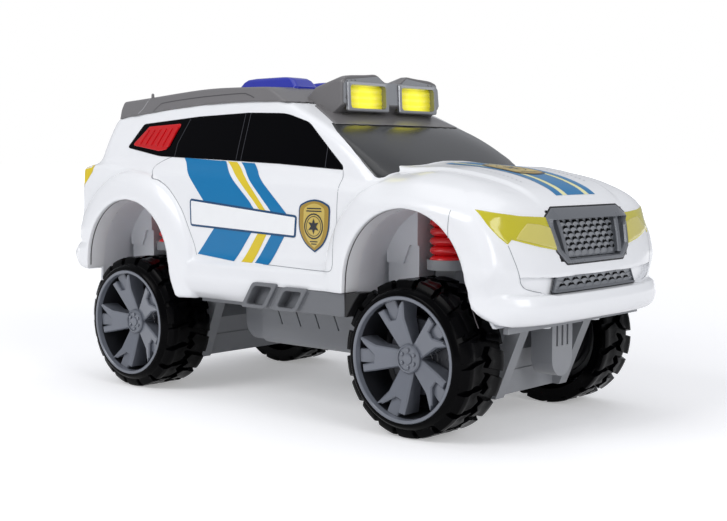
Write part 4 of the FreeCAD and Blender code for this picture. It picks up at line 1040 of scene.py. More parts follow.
def scale_panel(patch, pitch, depth, relief, cell):
    """Rows of round-topped scales over a four-sided patch of the nose."""
    (low_half, low_z), (high_half, high_z) = patch
    pitch_y, pitch_z = pitch
    rows = int((high_z - low_z) / cell) + 1
    columns = int(2 * max(low_half, high_half) / cell) + 1
    share_y, share_z = np.meshgrid(np.linspace(-1, 1, columns), np.linspace(0, 1, rows))
    z = low_z + (high_z - low_z) * share_z
    y = share_y * (low_half + (high_half - low_half) * share_z)
    under_edge = np.full(y.shape, 9.0)
    for row in scale_rows(low_z, high_z, pitch_z):
        offset = (np.mod(y / pitch_y + 0.5 * (row % 2), 1) - 0.5) * 2
        edge = row * pitch_z + SCALE_RISE * pitch_z * np.sqrt(np.maximum(1 - offset ** 2, 0)) - z
        under_edge = np.where((edge >= 0) & (edge < under_edge), edge, under_edge)
    proud = relief * np.clip(1 - under_edge / pitch_z, 0, 1) ** 1.5
    x = nose_x(y, z).reshape(y.shape) - depth + proud
    return np.stack([x, y, z], 2).reshape(-1, 3), grid_faces(rows, columns)


def scale_gap_shades(patch, pitch, depth, relief):
    """Black crescent over each whole scale: painted shade in the gap above it."""
    (low_half, low_z), (high_half, high_z) = patch
    pitch_y, pitch_z = pitch
    at = np.linspace(-0.74, 0.74, 9)
    thick = 0.5 * pitch_z * (1 - (at / 0.76) ** 2) ** 0.5
    margin, most_columns, slits = 0.2, 12, []
    for row in scale_rows(low_z, high_z, pitch_z):
        low = row * pitch_z + SCALE_RISE * pitch_z * np.sqrt(1 - at ** 2)
        high = low + thick
        share = (np.array([low.min(), high.max()]) - low_z) / (high_z - low_z)
        if share.min() < 0.02 or share.max() > 0.98:
            continue
        half = low_half + (high_half - low_half) * share.max()
        for k in range(-most_columns, most_columns + 1):
            y = (k + 0.5 - 0.5 * (row % 2)) * pitch_y + at * pitch_y / 2
            if np.abs(y).max() > min(half, high_half, low_half) - margin:
                continue
            foot = np.stack([nose_x(y, low) - depth + 1.06 * relief, y, low], 1)
            top = np.stack([nose_x(y, high) - depth + 0.5 * relief, y, high], 1)
            slits.append((np.concatenate([foot, top]), grid_faces(2, len(at))))
    return gathered(slits)


def drawn_in(points, across_share, up_share, top_drop):
    """Outline of the nose grille drawn towards its middle, its top lowered."""
    middle_z, top_z = 95.5, 108
    return [(a * across_share, min(middle_z + (b - middle_z) * up_share, top_z - top_drop))
            for a, b in points]


def grille_frame(outer):
    """Frame of the nose grille, thicker at its top."""
    inner, deep = drawn_in(outer, 0.93, 0.87, 5.2), drawn_in(outer, 0.905, 0.84, 5.6)
    crown = ring_on_nose(inner, 1.0)
    crown[:, 0] += 1.3 * ease(crown[:, 2], 99, 103)
    rings = [ring_on_nose(ring, lift)
             for ring, lift in ((outer, -1.5), (outer, 0.3), (shrunk(outer, 0.6), 0.9))]
    rings += [crown, ring_on_nose(deep, 0.2), ring_on_nose(deep, -4.2)]
    faces = [(a, d, c, b) for a, b, c, d in ring_faces(len(rings), len(outer))]
    return np.concatenate(rings), faces


def grille_post(side):
    """Upright post of the nose grille, leaning out towards its top."""
    low_z, high_z, rows, foot_y, lean = 85.6, 103.4, 8, 23.6, 0.15
    profile = ((-1.5, -4.4), (-1.5, -0.6), (-0.9, 0.1), (0.9, 0.3), (1.3, -0.2), (1.7, -4.4))
    verts = []
    for z in np.linspace(low_z, high_z, rows + 1):
        for offset, lift in profile:
            y = side * (foot_y + (z - low_z) * lean + offset)
            verts.append((nose_x(y, z)[0] + lift, y, z))
    faces = grid_faces(rows + 1, len(profile))
    return np.array(verts), faces if side > 0 else [face[::-1] for face in faces]


def lower_frame():
    """Thin frame of the bumper grille."""
    rim = spaced(trapezium(37, 69.8, 33.5, 77.5), 3)
    levels = ((0, -2.2), (0, -0.7), (0.5, -0.5), (0.9, -0.6), (1.0, -2.2))
    rings = [ring_on_nose(shrunk(rim, inset), lift) for inset, lift in levels]
    return np.concatenate(rings), ring_faces(len(rings), len(rim))


def build_grilles():
    metal = plastic("grille_grey", "#6E7176", 0.28, coat=0.2, grain=0.03, Metallic=0.3)
    # lighter copy of the grille grey for the scales: painted light on their faces
    light = plastic("grille_scale_lit_grey", "#7C7F84", 0.3, coat=0.15, grain=0.03, Metallic=0.2)
    # near-black grille grey: painted shade on the pocket sheets, and a dark joint on the edge lines
    dark = plastic("grille_dark_joint_and_shade", "#1A1B1E", 0.5, grain=0.05)
    # near-black sheets laid in the gaps above the scales: painted shade
    black = plastic("grille_gap_black", "#050506", 0.6, grain=0.02, Specular_IOR_Level=0.1)
    slot = "grille_metal"
    outer = spaced(rounded(GRILLE), 3)
    frame_parts = [grille_frame(outer), grille_post(-1), grille_post(1)]
    single("nose_grille", gathered(frame_parts), metal, slot, "grille", sharp=30)
    single("bumper_grille", lower_frame(), metal, slot, "lower_grille", sharp=25)
    # dark sheets at the back of both grille pockets: painted shade behind the scales
    backs = [sheet(drawn_in(outer, 0.9, 0.86, 4.8), "front", -4.3, step=4),
             sheet(trapezium(37, 69.7, 33.5, 77.6, 0, 0), "front", -1.9, step=4)]
    single("grille_pocket_shade", gathered(backs), dark, slot)
    cell, low_cell = ((0.24, 0.26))
    panels = [scale_panel(*NOSE_SCALES, cell), scale_panel(*BUMPER_SCALES, low_cell)]
    single("grille_scales", gathered(panels), light, slot, sharp=35)
    slits = [scale_gap_shades(*NOSE_SCALES), scale_gap_shades(*BUMPER_SCALES)]
    single("grille_gap_shades", gathered(slits), black, slot)
    edges = [(shrunk(outer, -0.35), 0.8, 0.12), (trapezium(37.6, 69.4, 34, 77.9), 0.5, -1.2)]
    edges = [ribbon(edge + edge[:1], "front", width, lift) for edge, width, lift in edges]
    single("grille_edge", gathered(edges), dark, slot)


# Decals and shut lines

SIDE_BLUE = [
    [(-67.0, 131.5), (-32.4, 129.6), (-29.4, 126, 20), (-8.2, 109.4, 30), (1.3, 99.9, 3), (-4.1, 94.0, 30),
     (-19.2, 76.9), (-48.6, 79.4), (-34.7, 93.4, 30), (-31.9, 96.2, 3), (-43.7, 108.7, 30),
     (-57.1, 121.5, 30)],
    [(-20.2, 129.0), (-10.0, 128.5), (-2.7, 121.9, 20), (16.4, 106.4, 30), (24.8, 98.9, 3),
     (19.0, 91.8, 30), (7.1, 76.4), (-3.1, 77.0), (8.4, 90.9, 30), (14.7, 98.2, 3), (6.0, 106.6, 30),
     (-10.4, 121.1, 30)]]
SIDE_YELLOW = [
    [(-31.0, 129.5), (-23.6, 129.1), (-12.2, 120.8, 20), (2.3, 107.0, 30), (10.7, 98.1, 3), (5.6, 91.6, 30),
     (-5.4, 76.8), (-13.4, 77.0), (-1.0, 91.9, 30), (5.7, 99.8, 3), (-4.2, 108.8, 30), (-17.1, 119.7, 30)]]
SIDE_LABEL = [(-54.5, 109.4, 2), (27.8, 102.4, 2), (27.0, 91.1, 2), (-53.3, 94.5, 2)]
CORNER_PATCH = [(-153.2, 126.6, 0.6), (-144.4, 127.4, 0.6), (-144.9, 123.4, 2), (-149.6, 117.5, 0.5),
                (-153.6, 113.6, 0.5)]
SHIELD_HALF = [(0, 12.7), (3.4, 12.3), (7.0, 11.2), (10.2, 9.2), (10.6, 4.0), (10.3, -1.5), (8.7, -6.0),
               (5.4, -10.2), (0, -13.6)]


def stripe(points):
    """Outline whose corners may leave out their radius."""
    return rounded([(a, b, *(radius or [0])) for a, b, *radius in points])


def shield(x, z, size, narrow=1.0):
    """Outline of a plain shield about a middle point."""
    right = smooth_line([(a * size * narrow, b * size) for a, b in SHIELD_HALF], 4)
    left = [(-a, b) for a, b in right[::-1]][1:-1]
    return [(x + a, z + b) for a, b in right + left]


def star_outline(x, z, outer, inner, points):
    """Outline of a plain star, one point up."""
    result = []
    for i in range(2 * points):
        radius = outer if i % 2 == 0 else inner
        angle = math.pi * i / points + math.pi / 2
        result.append((x + radius * math.cos(angle), z + radius * math.sin(angle)))
    return result


def pale_gold():
    return plastic("decal_gold_light", "#CBB25A", 0.3, coat=0.05, grain=0.04, variation=0.1, patch=300)


def build_decals():
    lift, slot = settings().decal_lift / MM, "white_shell"
    for name, outlines, colour in (("side_stripes_blue", SIDE_BLUE, "blue"),
                                   ("side_stripe_yellow", SIDE_YELLOW, "yellow")):
        parts = [sheet(stripe(points), "side", lift, 1.6) for points in outlines]
        pair(name, gathered(parts), decal_film(colour), slot)
    x, z, star_z = 39.7, 98.0, 97.4
    label_edge = sheet(rounded(SIDE_LABEL), "side", 2 * lift)
    shield_edge = sheet(shield(x, z, 1.0), "side", 2 * lift, step=1.5)
    pair("side_label_edge", gathered([label_edge, shield_edge]), decal_film("navy"), slot)
    blank = sheet(shrunk(spaced(rounded(SIDE_LABEL), 2.5), 1.1), "side", 3 * lift)
    pair("side_label_blank", blank, decal_film("white"), slot)
    pair("side_shield", sheet(shield(x, z, 0.93), "side", 3 * lift, step=1.2), decal_film("gold"), slot)
    pair("side_shield_field", sheet(shield(x, z, 0.84, 0.8), "side", 3.4 * lift, step=1.2), pale_gold(), slot)
    rings = [(circle(x, star_z, radius, 24), width) for radius, width in ((6.1, 0.7), (4.9, 0.35))]
    marks = [ribbon(ring + ring[:1], "side", width, 4.2 * lift) for ring, width in rings]
    bars = ((4.8, 106.2, 0.6), (5.2, 104.9, 0.6), (2.6, 89.8, 0.5), (1.8, 88.6, 0.5))
    marks += [ribbon([(x - half, bar_z), (x + half, bar_z)], "side", width, 4.2 * lift)
              for half, bar_z, width in bars]
    star = sheet(star_outline(x, star_z, 4.0, 1.8, 6), "side", 5 * lift, step=0.8)
    pair("side_shield_star", gathered([star] + marks), decal_film("dark"), slot)
    patch = sheet(rounded(CORNER_PATCH), "side", lift, step=1.2)
    pair("rear_corner_patch", patch, decal_film("yellow"), slot)
    build_bonnet_decal(lift)


def build_bonnet_decal(lift):
    back, front, slot = 80.0, 145.8, "white_shell"
    for name, bands, colour, step in (
            ("bonnet_stripes_blue", ((-17.4, -11.9), (-7.6, 7.6), (11.9, 17.4)), "blue", 2.0),
            ("bonnet_stripes_yellow", ((-11.4, -8.1), (8.1, 11.4)), "pale_yellow", 2.5)):
        parts = [sheet(box_outline(back, front, y0, y1, 0), "top", lift, step) for y0, y1 in bands]
        single(name, gathered(parts), decal_film(colour), slot)
    dots = [sheet(circle(x, -28, 0.45, 8), "top", lift, step=0.5) for x in np.linspace(111, 133, 10)]
    dots += [swapped(dot) for dot in dots]
    single("bonnet_dots", gathered(dots), plastic("decal_grey", "#8A8C90", 0.4), slot)
    middle, ring_radius = 108.0, 7.4
    edge, gold, field = [
        sheet([(middle + b * size, a * size) for a, b in shield(0, 0, 1.0)], "top", level * lift, step=1.5)
        for size, level in ((1.25, 2), (1.15, 3), (0.96, 3.5))]
    star = sheet([(a, b) for b, a in star_outline(0, middle, 5.6, 2.4, 6)], "top", 4 * lift, step=0.8)
    ring = [(b, a) for a, b in circle(0, middle, ring_radius, 24)]
    marks = [edge, star, ribbon(ring + ring[:1], "top", 0.6, 4 * lift)]
    marks += [ribbon([(middle + along, -half), (middle + along, half)], "top", 0.7, 4 * lift)
              for along, half in ((10.6, 6.6), (-10.4, 3.2))]
    single("bonnet_crest_edge", gathered(marks), decal_film("dark"), slot)
    single("bonnet_crest", gold, decal_film("gold"), slot)
    single("bonnet_crest_field", field, pale_gold(), slot)


def build_shut_lines():
    seam, slot = plastic("shut_line", "#8C8F95", 0.6, grain=0.0), "white_shell"
    door_front = [(53.3, 125.2), (54.4, 118.0), (54.6, 105.9), (55.4, 92), (56.0, 79.5)]
    door_foot = [(56.0, 79.5), (54.0, 76.3), (46.4, 75.6), (25.2, 76.0), (3.2, 76.6)]
    door_rear = [(-74.8, 132.8), (-83.2, 130.4), (-88.9, 127.2), (-89.3, 123.4), (-85.8, 120.2),
                 (-80.6, 118.5), (-71.5, 113.2), (-60.7, 102.5), (-53.0, 88.5), (-49.5, 78.8)]
    bonnet_side = [(126.9, 107.8), (126.6, 101.2), (126.7, 95.4)]
    lines = [ribbon(smooth_line(line), "side", 0.34, 0.05)
             for line in (door_front, door_foot, door_rear, bonnet_side)]
    pair("side_shut_lines", gathered(lines), seam, slot)
    gate = smooth_line([(-55, 131), (-56.5, 120), (-54.5, 100), (-51, 86), (-46, 83.4), (-30, 83.2)])
    gate += [(-a, b) for a, b in gate[::-1]]
    single("tailgate_line", ribbon(gate, "back", 0.4, 0.05), seam, slot)
    grip = slab(trapezium(17, 110, 15, 114.6, 1.5, 1.5), "back", 1.2, -0.8, 0.5)
    single("tailgate_grip", grip, roof_plastic(), "roof_grey")
    bumper = smooth_line([(-62.5, 92.4), (-60.7, 85.2), (-58.6, 78.5), (-57.4, 74.9), (-54.2, 72.5),
                          (-46.1, 70.6)])
    pair("bumper_split_line", ribbon(bumper, "front", 0.34, 0.05), seam, slot)


# Wheels

TYRE_OUT = 73.4
RIM_FACE = 75.7
TREAD_BASE, TREAD_TOP = 34.9, 37.45
TYRE_MIDDLE = 14


def tyre_mesh():
    """Tyre with its outer shoulder at y = 0 and its width towards +y."""
    blocks = settings().tread_blocks
    base = TREAD_BASE
    marks = [0, .05, .095, .125, .2, .28, .36, .39, .44, .5, .56, .61, .64, .72, .8, .875, .905, .95]
    # Rows of radius, place across, and 1 or 2 where blocks of the outer or inner row stand
    across = [(30.0, -2.2, 0), (30.9, -2.25, 0), (31.6, -1.9, 0), (33.2, 0.2, 0), (33.5, 0.6, 1),
              (34.5, 2.2, 1), (base, 3.4, 1), (base, 4.6, 1), (base, 6.5, 1), (base, 9.0, 1), (base, 11.6, 1),
              (base, 12.0, 0), (base, 14, 0), (base, 16.0, 0), (base, 16.4, 2), (base, 19, 2),
              (base, 21.5, 2), (base, 24.4, 2), (base, 26.8, 2), (35.2, 28.0, 2), (34.35, 28.2, 2),
              (34.1, 28.2, 0), (32, 28.0, 0), (30.0, 28.0, 0)]
    turn = np.array([i + mark for i in range(blocks) for mark in marks])
    phase = np.mod(turn, 1)
    zigzag = 1.9 * (np.abs(np.mod(phase * 2 + 0.25, 1) * 2 - 1) - 0.5) * 2
    raised = {0: np.zeros(len(turn)), 1: ((phase >= .125) & (phase <= .875)).astype(float),
              2: ((phase <= .36) | (phase >= .64)).astype(float)}
    verts = np.zeros((len(across), len(turn), 3))
    for row, (radius, y, kind) in enumerate(across):
        off = abs(y - TYRE_MIDDLE)
        angle = (turn + 0.3 * (1 - min(1, off / TYRE_MIDDLE))) * 2 * math.pi / blocks
        depth = TREAD_TOP - base if 1 <= y <= 27 else (1.9 if radius > 35 else 0.9)
        groove = 0.82 if y in (6.5, 21.5) else 1.0
        reach = radius + raised[kind] * depth * groove
        out = raised[kind] * (0.4 if 0.4 < y < 3 else 0)
        verts[row, :, 0] = reach * np.cos(angle)
        verts[row, :, 1] = y + zigzag * max(0.0, 1 - off / 9) - out
        verts[row, :, 2] = reach * np.sin(angle)
    return verts.reshape(-1, 3), ring_faces(len(across), len(turn))


def rim_mesh():
    """Rim with its face at y = 0 and its depth towards +y: lip, five forked spokes, hub and its bolts."""
    spokes, bolts, bolt_circle = 5, 6, 4.1
    lip = [(30.0, 1.2), (30.0, 0.5), (29.6, 0.05), (28.5, 0.0), (28.1, 0.35), (27.9, 1.6), (27.7, 4.0)]
    arm = [(5.0, -3.6), (18.5, -4.9), (26.0, -8.4), (25.2, -5.4), (19.4, 0.0), (19.4, 3.4), (25.2, 4.8),
           (24.6, 8.6), (18.5, 7.4), (5.0, 4.2)]
    strip = [(15, -2.9), (29.2, -2.6), (29.2, 4.2), (15, 4.4)]
    parts = [lathe(lip, 120)]
    for i in range(spokes):
        angle = math.pi + 2 * math.pi * i / spokes
        parts += [spoke_plate(arm, angle, 1.2, 0.7), spoke_plate(strip, angle, 3.0, 0.5)]
    hub = [(7.6, 14.0), (7.4, 7.6), (6.9, 6.4), (6.9, 5.6), (6.4, 5.0), (5.7, 4.8), (5.6, 5.4), (2.6, 5.5),
           (2.4, 5.0), (1.2, 4.8), (0.01, 4.8)]
    parts.append(lathe(hub, 60))
    for i in range(bolts):
        angle = 2 * math.pi * (i + 0.5) / bolts
        verts, faces = lathe([(0.95, 5.6), (0.95, 4.75), (0.7, 4.55), (0.01, 4.5)], 10)
        parts.append((verts + (bolt_circle * math.cos(angle), 0, bolt_circle * math.sin(angle)), faces))
    return gathered(parts)


def spoke_plate(outline, angle, top, chamfer):
    """Spoke body turned to its angle: a chamfered face that falls back towards the hub, and walls."""
    def place(a, b, level):
        return (a * math.cos(angle) - b * math.sin(angle), level, a * math.sin(angle) + b * math.cos(angle))
    def sunk(a):
        return top + 5.4 * max(0.0, min(1.0, (27 - a) / 20))
    wall_foot, count = 13.0, len(outline)
    verts = [place(a, b, wall_foot) for a, b in outline]
    verts += [place(a, b, sunk(a) + chamfer * 0.9) for a, b in outline]
    verts += [place(a, b, sunk(a)) for a, b in shrunk(outline, chamfer)]
    return np.array(verts), ring_faces(3, count) + [tuple(range(2 * count, 3 * count))]


def disc_mesh():
    """Brake disc behind the spokes, with two rows of small holes drawn as dimples."""
    disc = [(18.0, 16.0), (18.0, 14.5), (17.6, 14.1), (11.0, 14.1), (10.6, 13.8), (8.0, 13.8), (8.0, 16.0)]
    parts = [lathe(disc, 90)]
    for radius, count in ((13.0, 12), (15.8, 16)):
        for a, b in circle(0, 0, radius, count):
            verts, faces = lathe([(0.7, 14.25), (0.6, 14.0), (0.01, 13.95)], 8)
            parts.append((verts + (a, 0, b), faces))
    return gathered(parts)


def barrel_mesh():
    """Inside of the rim with its closing web and a stepped ring on it; its near-black colour is painted
    shade.
    """
    return lathe([(27.75, 3.0), (27.2, 9.0), (26.2, 15.0), (25.6, 19.6), (23.5, 20.4), (22.5, 19.6),
                  (20.5, 19.4), (19.5, 20.6), (7.0, 20.8)], 96)


def bright_steel():
    return plastic("bright_steel", "#B8BABD", 0.25, grain=0.03, Metallic=0.9)


def build_wheels():
    rubber = plastic("gloss_black_tyre", "#030304", 0.2, grain=0.06, variation=0.2, size=1800,
                     Specular_IOR_Level=0.05)
    rim_grey = plastic("moulded_rim", settings().rim_colour, 0.26, coat=0.3, grain=0.04, variation=0.06,
                       Metallic=0.15)
    disc_grey = plastic("moulded_disc", "#3B3D43", 0.36, grain=0.05)
    # near-black copy of the rim grey for the barrel: painted shade inside the rim
    dark = plastic("barrel_shade_black", "#1B1C20", 0.35, grain=0.05)
    for kind, (verts, faces), out, material, slot, replaced in (
            ("tyre", tyre_mesh(), TYRE_OUT, rubber, "tyre", True),
            ("rim", rim_mesh(), RIM_FACE, rim_grey, "rim_grey", True),
            ("disc", disc_mesh(), RIM_FACE, disc_grey, "disc_grey", True),
            ("barrel", barrel_mesh(), RIM_FACE, dark, "rim_grey", False)):
        for axle, axle_x in AXLES.items():
            part = (verts + (axle_x, -out, AXLE_Z), faces)
            pair("wheel_" + kind + "_" + axle, part, material, slot, kind + "_" + axle if replaced else None,
                 axle + "_wheels", sharp=32)
    for axle in AXLES:
        finish_node(axle + "_axle_rod", bright_steel())


# Springs, arches and underside

def build_springs():
    """Coils drawn as rounded ridges round a closed core."""
    red = plastic("moulded_spring", "#DE1A20", 0.14, coat=0.3, grain=0.01, variation=0.08)
    foot, top, coils, steps, y = 80.0, 107.0, 6, 14, -40.5
    core, wire = 5.9, 2.7
    profile = [(0.01, foot + 0.01)]
    for i in range(coils * steps):
        bulge = abs(math.sin(math.pi * (i % steps) / steps)) ** 0.55
        profile.append((core + wire * bulge, foot + i * (top - foot) / (coils * steps)))
    verts, faces = lathe(profile + [(core, top), (0.01, top)], 56, axis="z")
    faces = [face[::-1] for face in faces]
    for axle, axle_x in AXLES.items():
        part = (verts + (axle_x, y, 0), faces)
        pair("coil_spring_" + axle, part, red, "spring_red", "spring_" + axle, sharp=50)


def finish_node(node, material):
    """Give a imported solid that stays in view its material."""
    thing = frame["nodes"][node]
    thing.data.materials.clear()
    thing.data.materials.append(material)


def arch_seam_mesh(axle_x):
    """Dark joint between the arch lip and the inner wing, as a narrow band on the inside of the lip."""
    outer_y, inner_y, inset, bumper_top_z = -73.5, -72.8, 0.48, 68
    turns = [math.radians(a) for a in range(0, 181, 4)]
    edge = [(ARCH_R * math.cos(t), ARCH_Z + ARCH_R * math.sin(t)) for t in turns]
    legs = [ARCH_Z - 2.5 * k for k in range(1, 7)]
    edge = [(ARCH_R + FRONT_SPREAD * arch_fall(z), z) for z in legs[::-1]] + edge
    edge += [(-ARCH_R - REAR_SPREAD * arch_fall(z), z) for z in legs if axle_x > 0 or z > bumper_top_z]
    verts = []
    for a, z in edge:
        scale = 1 - inset / math.hypot(a, max(z - ARCH_Z, 0) + 1e-6)
        height = ARCH_Z + (z - ARCH_Z) * (scale if z > ARCH_Z else 1)
        verts += [(axle_x + a * scale, y, height) for y in (outer_y, inner_y)]
    return np.array(verts), grid_faces(len(edge), 2)


def screw_head(x, y, z, radius):
    """Cross-head screw seen from below, in its raised ring."""
    ring = [(radius + 1.0, z), (radius + 0.9, z - 0.9), (radius + 0.2, z - 1.0), (radius, z - 0.8),
            (radius, z + 0.1)]
    head = [(radius - 0.1, z), (radius - 0.3, z - 0.45), (radius * 0.5, z - 0.6), (0.01, z - 0.62)]
    parts = [lathe(ring, 28, axis="z"), lathe(head, 24, axis="z")]
    parts = [(verts + (x, y, 0), faces) for verts, faces in parts]
    long, wide = radius * 0.62, 0.22
    for half_x, half_y in ((long, wide), (wide, long)):
        parts.append(slug(x - half_x, x + half_x, y - half_y, y + half_y, z - 0.72, z - 0.3, 0.05))
    return gathered(parts)


def slug(x0, x1, y0, y1, z0, z1, cut):
    """Box with all its edges cut."""
    middle_x, middle_y = (x0 + x1) / 2, (y0 + y1) / 2
    ring = [(x0 + cut, y0), (x1 - cut, y0), (x1, y0 + cut), (x1, y1 - cut), (x1 - cut, y1), (x0 + cut, y1),
            (x0, y1 - cut), (x0, y0 + cut)]
    verts = [(a - math.copysign(inset, a - middle_x), b - math.copysign(inset, b - middle_y), z)
             for z, inset in ((z0, cut), (z0 + cut, 0), (z1 - cut, 0), (z1, cut)) for a, b in ring]
    verts, faces = np.array(verts, float), ring_faces(4, 8)
    return verts, outward(verts, [tuple(range(8))[::-1], tuple(range(24, 32))] + faces)


def build_underside():
    grey = plastic("moulded_chassis", settings().chassis_colour, 0.4, coat=0.1, grain=0.08, variation=0.08)
    for node in ("chassis", "battery_lid", "front_axle_housing", "rear_axle_housing"):
        finish_node(node, grey)
    screws = [screw_head(x, y, 52, 2.2) for x in (-52, 143) for y in (-22, 22)]
    screws += [screw_head(axle_x - 9, y, 20, 2.0) for axle_x in AXLES.values() for y in (-20, 20)]
    screws.append(screw_head(22, 0, 29, 1.8))
    single("underside_screws", gathered(screws), bright_steel(), "steel")
    ribs = [slug(-29 + 1.8 * i, -28.2 + 1.8 * i, -9 + 0.9 * abs(i - 3), 9 - 0.9 * abs(i - 3), 28.3, 29.2, 0.2)
            for i in range(7)]
    ribs += [slug(x, x + 1.4, -36, 36, 49.4, 52.2, 0.3) for x in (-62, 68)]
    ribs += [slug(-62, -48, y, y + 1.4, 49.4, 52.2, 0.3) for y in (-30.7, 29.3)]
    single("underside_ribs", gathered(ribs), grey, "chassis_grey")


def build_steps():
    trim_grey = plastic("moulded_step", "#6C6E72", 0.42, coat=0.05, grain=0.08, variation=0.08)
    form_object("side_steps", step_form, (-11, -77, 52), (66, -60, 69), 0.6, trim_grey,
                "chassis_grey", "side_step_right", "side_step_left")
    # near-black wedge at the step's front end: painted shade on its forward face
    wedge = rounded([(61.9, 65.8, 0), (61.9, 54.2, 0), (63.2, 54.2, 0.4), (65.0, 57, 0), (67.8, 61.5, 0),
                     (72.0, 66.6, 0.4)])
    def aside(a, b, level):
        return (a, level, b)
    pair("step_end_shade", plate(wedge, -61.8, -73.2, 0.3, aside), shadow_black(), "chassis_grey")


def shadow_black():
    return plastic("shadow_black", "#0B0B0D", 0.5, grain=0.05)


def build_arches():
    liner = plastic("liner_white", "#E6E8EC", 0.35, coat=0.05, grain=0.02)
    for axle in AXLES:
        for side in SIDES:
            finish_node("arch_liner_" + axle + "_" + side, liner)
    # near-black slabs on the arch wall behind each spring: painted shade in the bay
    bays = []
    for axle_x in AXLES.values():
        bays.append(slug(axle_x - 15.1, axle_x + 15, -31.6, -30.6, 56, 105.5, 0.2))
        bays += [slug(axle_x + x, axle_x + x + 1.2, -32.4, -31.4, 56, 105, 0.3) for x in (-12, 10)]
    pair("spring_bay_shade", gathered(bays), shadow_black(), "chassis_grey")
    seams = gathered([arch_seam_mesh(axle_x) for axle_x in AXLES.values()])
    pair("arch_joint", seams, plastic("joint_grey", "#4A4548", 0.6, grain=0.02), "white_shell")


# Floor, lights and camera

def floor_material():
    """Pale floor that takes the object's shadow and turns to plain white far away."""
    material = bpy.data.materials.new("pale_floor")
    material.use_nodes = True
    tree = material.node_tree
    tree.nodes.clear()
    path = wired(tree, "ShaderNodeLightPath")
    seen = wired(tree, "ShaderNodeMath", {0: path.outputs["Is Camera Ray"], 1: path.outputs["Is Glossy Ray"]},
                 operation="MAXIMUM")
    place = wired(tree, "ShaderNodeTexCoord")
    away = wired(tree, "ShaderNodeVectorMath", {0: place.outputs["Object"]}, operation="LENGTH")
    rise = wired(tree, "ShaderNodeMapRange",
                 {"Value": away.outputs["Value"], "From Min": 0.3, "From Max": 3.0,
                  "To Min": 0.3, "To Max": 1.0})
    strength = wired(tree, "ShaderNodeMath", {0: seen.outputs[0], 1: rise.outputs["Result"]},
                     operation="MULTIPLY")
    glow = wired(tree, "ShaderNodeEmission", {"Color": (1, 1, 1, 1), "Strength": strength.outputs[0]})
    diffuse = wired(tree, "ShaderNodeBsdfDiffuse", {"Color": (0.86, 0.86, 0.87, 1)})
    both = wired(tree, "ShaderNodeAddShader", {0: diffuse.outputs[0], 1: glow.outputs[0]})
    wired(tree, "ShaderNodeOutputMaterial", {"Surface": both.outputs[0]})
    return material


def build_floor():
    size = 40.0
    mesh = bpy.data.meshes.new("floor")
    corners = [(-size, -size, 0), (size, -size, 0), (size, size, 0), (-size, size, 0)]
    mesh.from_pydata(corners, [], [(0, 1, 2, 3)])
    mesh.materials.append(floor_material())
    floor = bpy.data.objects.new("floor", mesh)
    bpy.context.scene.collection.objects.link(floor)


def build_world():
    """Even grey light from all round, shown as white behind the object."""
    world = bpy.data.worlds.new("soft_studio")
    bpy.context.scene.world = world
    world.use_nodes = True
    tree = world.node_tree
    tree.nodes.clear()
    path = wired(tree, "ShaderNodeLightPath")
    colour = wired(tree, "ShaderNodeMix", {"A": (0.46, 0.47, 0.5, 1), "B": (1, 1, 1, 1),
                                           "Factor": path.outputs["Is Camera Ray"]}, data_type="RGBA")
    back = wired(tree, "ShaderNodeBackground", {"Color": colour.outputs["Result"]})
    wired(tree, "ShaderNodeOutputWorld", {"Surface": back.outputs[0]})


def build_softboxes():
    for name, place, aim, size_x, size_y, power in (
            ("key_softbox", (-0.3, -1.3, 1.1), (0, 0, 0.08), 0.9, 0.8, 10),
            ("top_softbox", (-0.1, 0.2, 1.6), (0, 0, 0.1), 1.6, 1.0, 3.5),
            ("front_softbox", (1.4, -0.35, 0.65), (0, 0, 0.08), 0.7, 0.7, 6.2)):
        light = bpy.data.lights.new(name, "AREA")
        light.shape = "RECTANGLE"
        light.size, light.size_y, light.energy = size_x, size_y, power
        thing = bpy.data.objects.new(name, light)
        thing.location = place
        thing.rotation_euler = (Vector(aim) - Vector(place)).to_track_quat("-Z", "Y").to_euler()
        bpy.context.scene.collection.objects.link(thing)


def build_camera():
    """Camera of the photograph: its lens, place and aim come from the fit to the wheels and corners."""
    camera = bpy.data.cameras.new("photo_camera")
    camera.lens, camera.sensor_width = 60.54, 36.0
    camera.clip_start, camera.clip_end = 0.02, 100
    thing = bpy.data.objects.new("photo_camera", camera)
    tilt_down, turn = 4.61, 41.519
    thing.location = (0.45847, -0.50692, 0.12916)
    thing.rotation_euler = Euler((math.radians(90 - tilt_down), 0, math.radians(turn)))
    bpy.context.scene.collection.objects.link(thing)
    bpy.context.scene.camera = thing


def build_stage():
    build_floor()
    build_world()
    build_softboxes()
    build_camera()
    bpy.context.scene.view_settings.view_transform = "Standard"


# Operators and panel

class TOYCAR_OT_body(bpy.types.Operator):
    """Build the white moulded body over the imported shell"""
    bl_idname = "toycar.body"
    bl_label = "Body moulding"

    def execute(self, context):
        build_body()
        return {"FINISHED"}


class TOYCAR_OT_roof(bpy.types.Operator):
    """Build the grey roof moulding, its lamps and the beacons"""
    bl_idname = "toycar.roof"
    bl_label = "Roof, roof lamps and beacons"

    def execute(self, context):
        build_roof()
        return {"FINISHED"}


class TOYCAR_OT_glazing(bpy.types.Operator):
    """Build the glossy window inserts"""
    bl_idname = "toycar.glazing"
    bl_label = "Windows"

    def execute(self, context):
        build_glazing()
        return {"FINISHED"}


class TOYCAR_OT_lamps(bpy.types.Operator):
    """Build headlamps and tail lamps"""
    bl_idname = "toycar.lamps"
    bl_label = "Headlamps and tail lamps"

    def execute(self, context):
        build_lamps()
        return {"FINISHED"}


class TOYCAR_OT_grilles(bpy.types.Operator):
    """Build the nose grille and the bumper grille with their scales"""
    bl_idname = "toycar.grilles"
    bl_label = "Grilles"

    def execute(self, context):
        build_grilles()
        return {"FINISHED"}


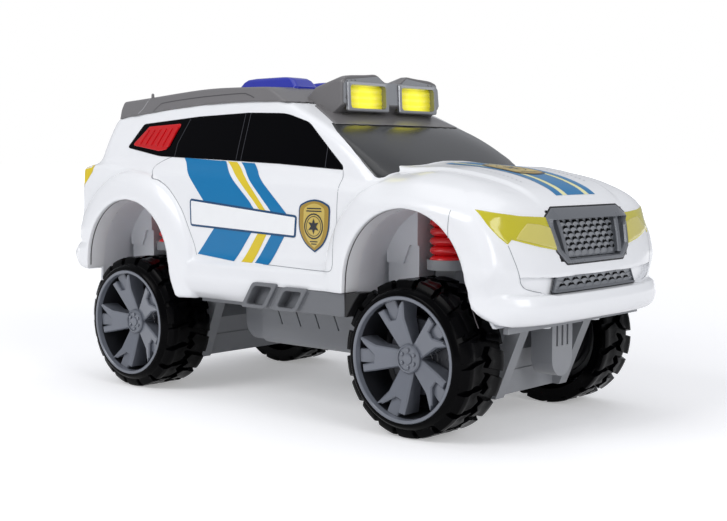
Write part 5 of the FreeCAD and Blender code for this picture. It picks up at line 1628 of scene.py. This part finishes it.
class TOYCAR_OT_decals(bpy.types.Operator):
    """Lay stripes, blank labels, shields and shut lines on the body"""
    bl_idname = "toycar.decals"
    bl_label = "Decals and shut lines"

    def execute(self, context):
        build_decals()
        build_shut_lines()
        return {"FINISHED"}


class TOYCAR_OT_wheels(bpy.types.Operator):
    """Build tyres, rims and brake discs on the turning axles"""
    bl_idname = "toycar.wheels"
    bl_label = "Wheels"

    def execute(self, context):
        build_wheels()
        return {"FINISHED"}


class TOYCAR_OT_underside(bpy.types.Operator):
    """Build the springs and side steps, and finish the arches and the chassis"""
    bl_idname = "toycar.underside"
    bl_label = "Springs and underside"

    def execute(self, context):
        build_springs()
        build_arches()
        build_steps()
        build_underside()
        return {"FINISHED"}


class TOYCAR_OT_stage(bpy.types.Operator):
    """Set up the floor, the soft lights and the camera"""
    bl_idname = "toycar.stage"
    bl_label = "Stage"

    def execute(self, context):
        build_stage()
        return {"FINISHED"}


class TOYCAR_PT_panel(bpy.types.Panel):
    """Lists the pieces of the toy car"""
    bl_idname = "TOYCAR_PT_panel"
    bl_label = "Toy Car"
    bl_space_type = "VIEW_3D"
    bl_region_type = "UI"
    bl_category = "Toy Car"

    def draw(self, context):
        look = context.scene.toy_car_settings
        for name in ToyCarSettings.__annotations__:
            self.layout.prop(look, name)
        for operator in OPERATORS:
            self.layout.operator(operator.bl_idname)


OPERATORS = (TOYCAR_OT_stage, TOYCAR_OT_body, TOYCAR_OT_roof, TOYCAR_OT_glazing, TOYCAR_OT_lamps,
             TOYCAR_OT_grilles, TOYCAR_OT_decals, TOYCAR_OT_wheels, TOYCAR_OT_underside)
CLASSES = (ToyCarSettings,) + OPERATORS + (TOYCAR_PT_panel,)


def register():
    for kind in CLASSES:
        bpy.utils.register_class(kind)
    bpy.types.Scene.toy_car_settings = bpy.props.PointerProperty(type=ToyCarSettings)


def unregister():
    del bpy.types.Scene.toy_car_settings
    for kind in reversed(CLASSES):
        bpy.utils.unregister_class(kind)


def main():
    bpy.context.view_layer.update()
    register()
    for operator in OPERATORS:
        group, name = operator.bl_idname.split(".")
        getattr(getattr(bpy.ops, group), name)()


if __name__ == "__main__":
    main()
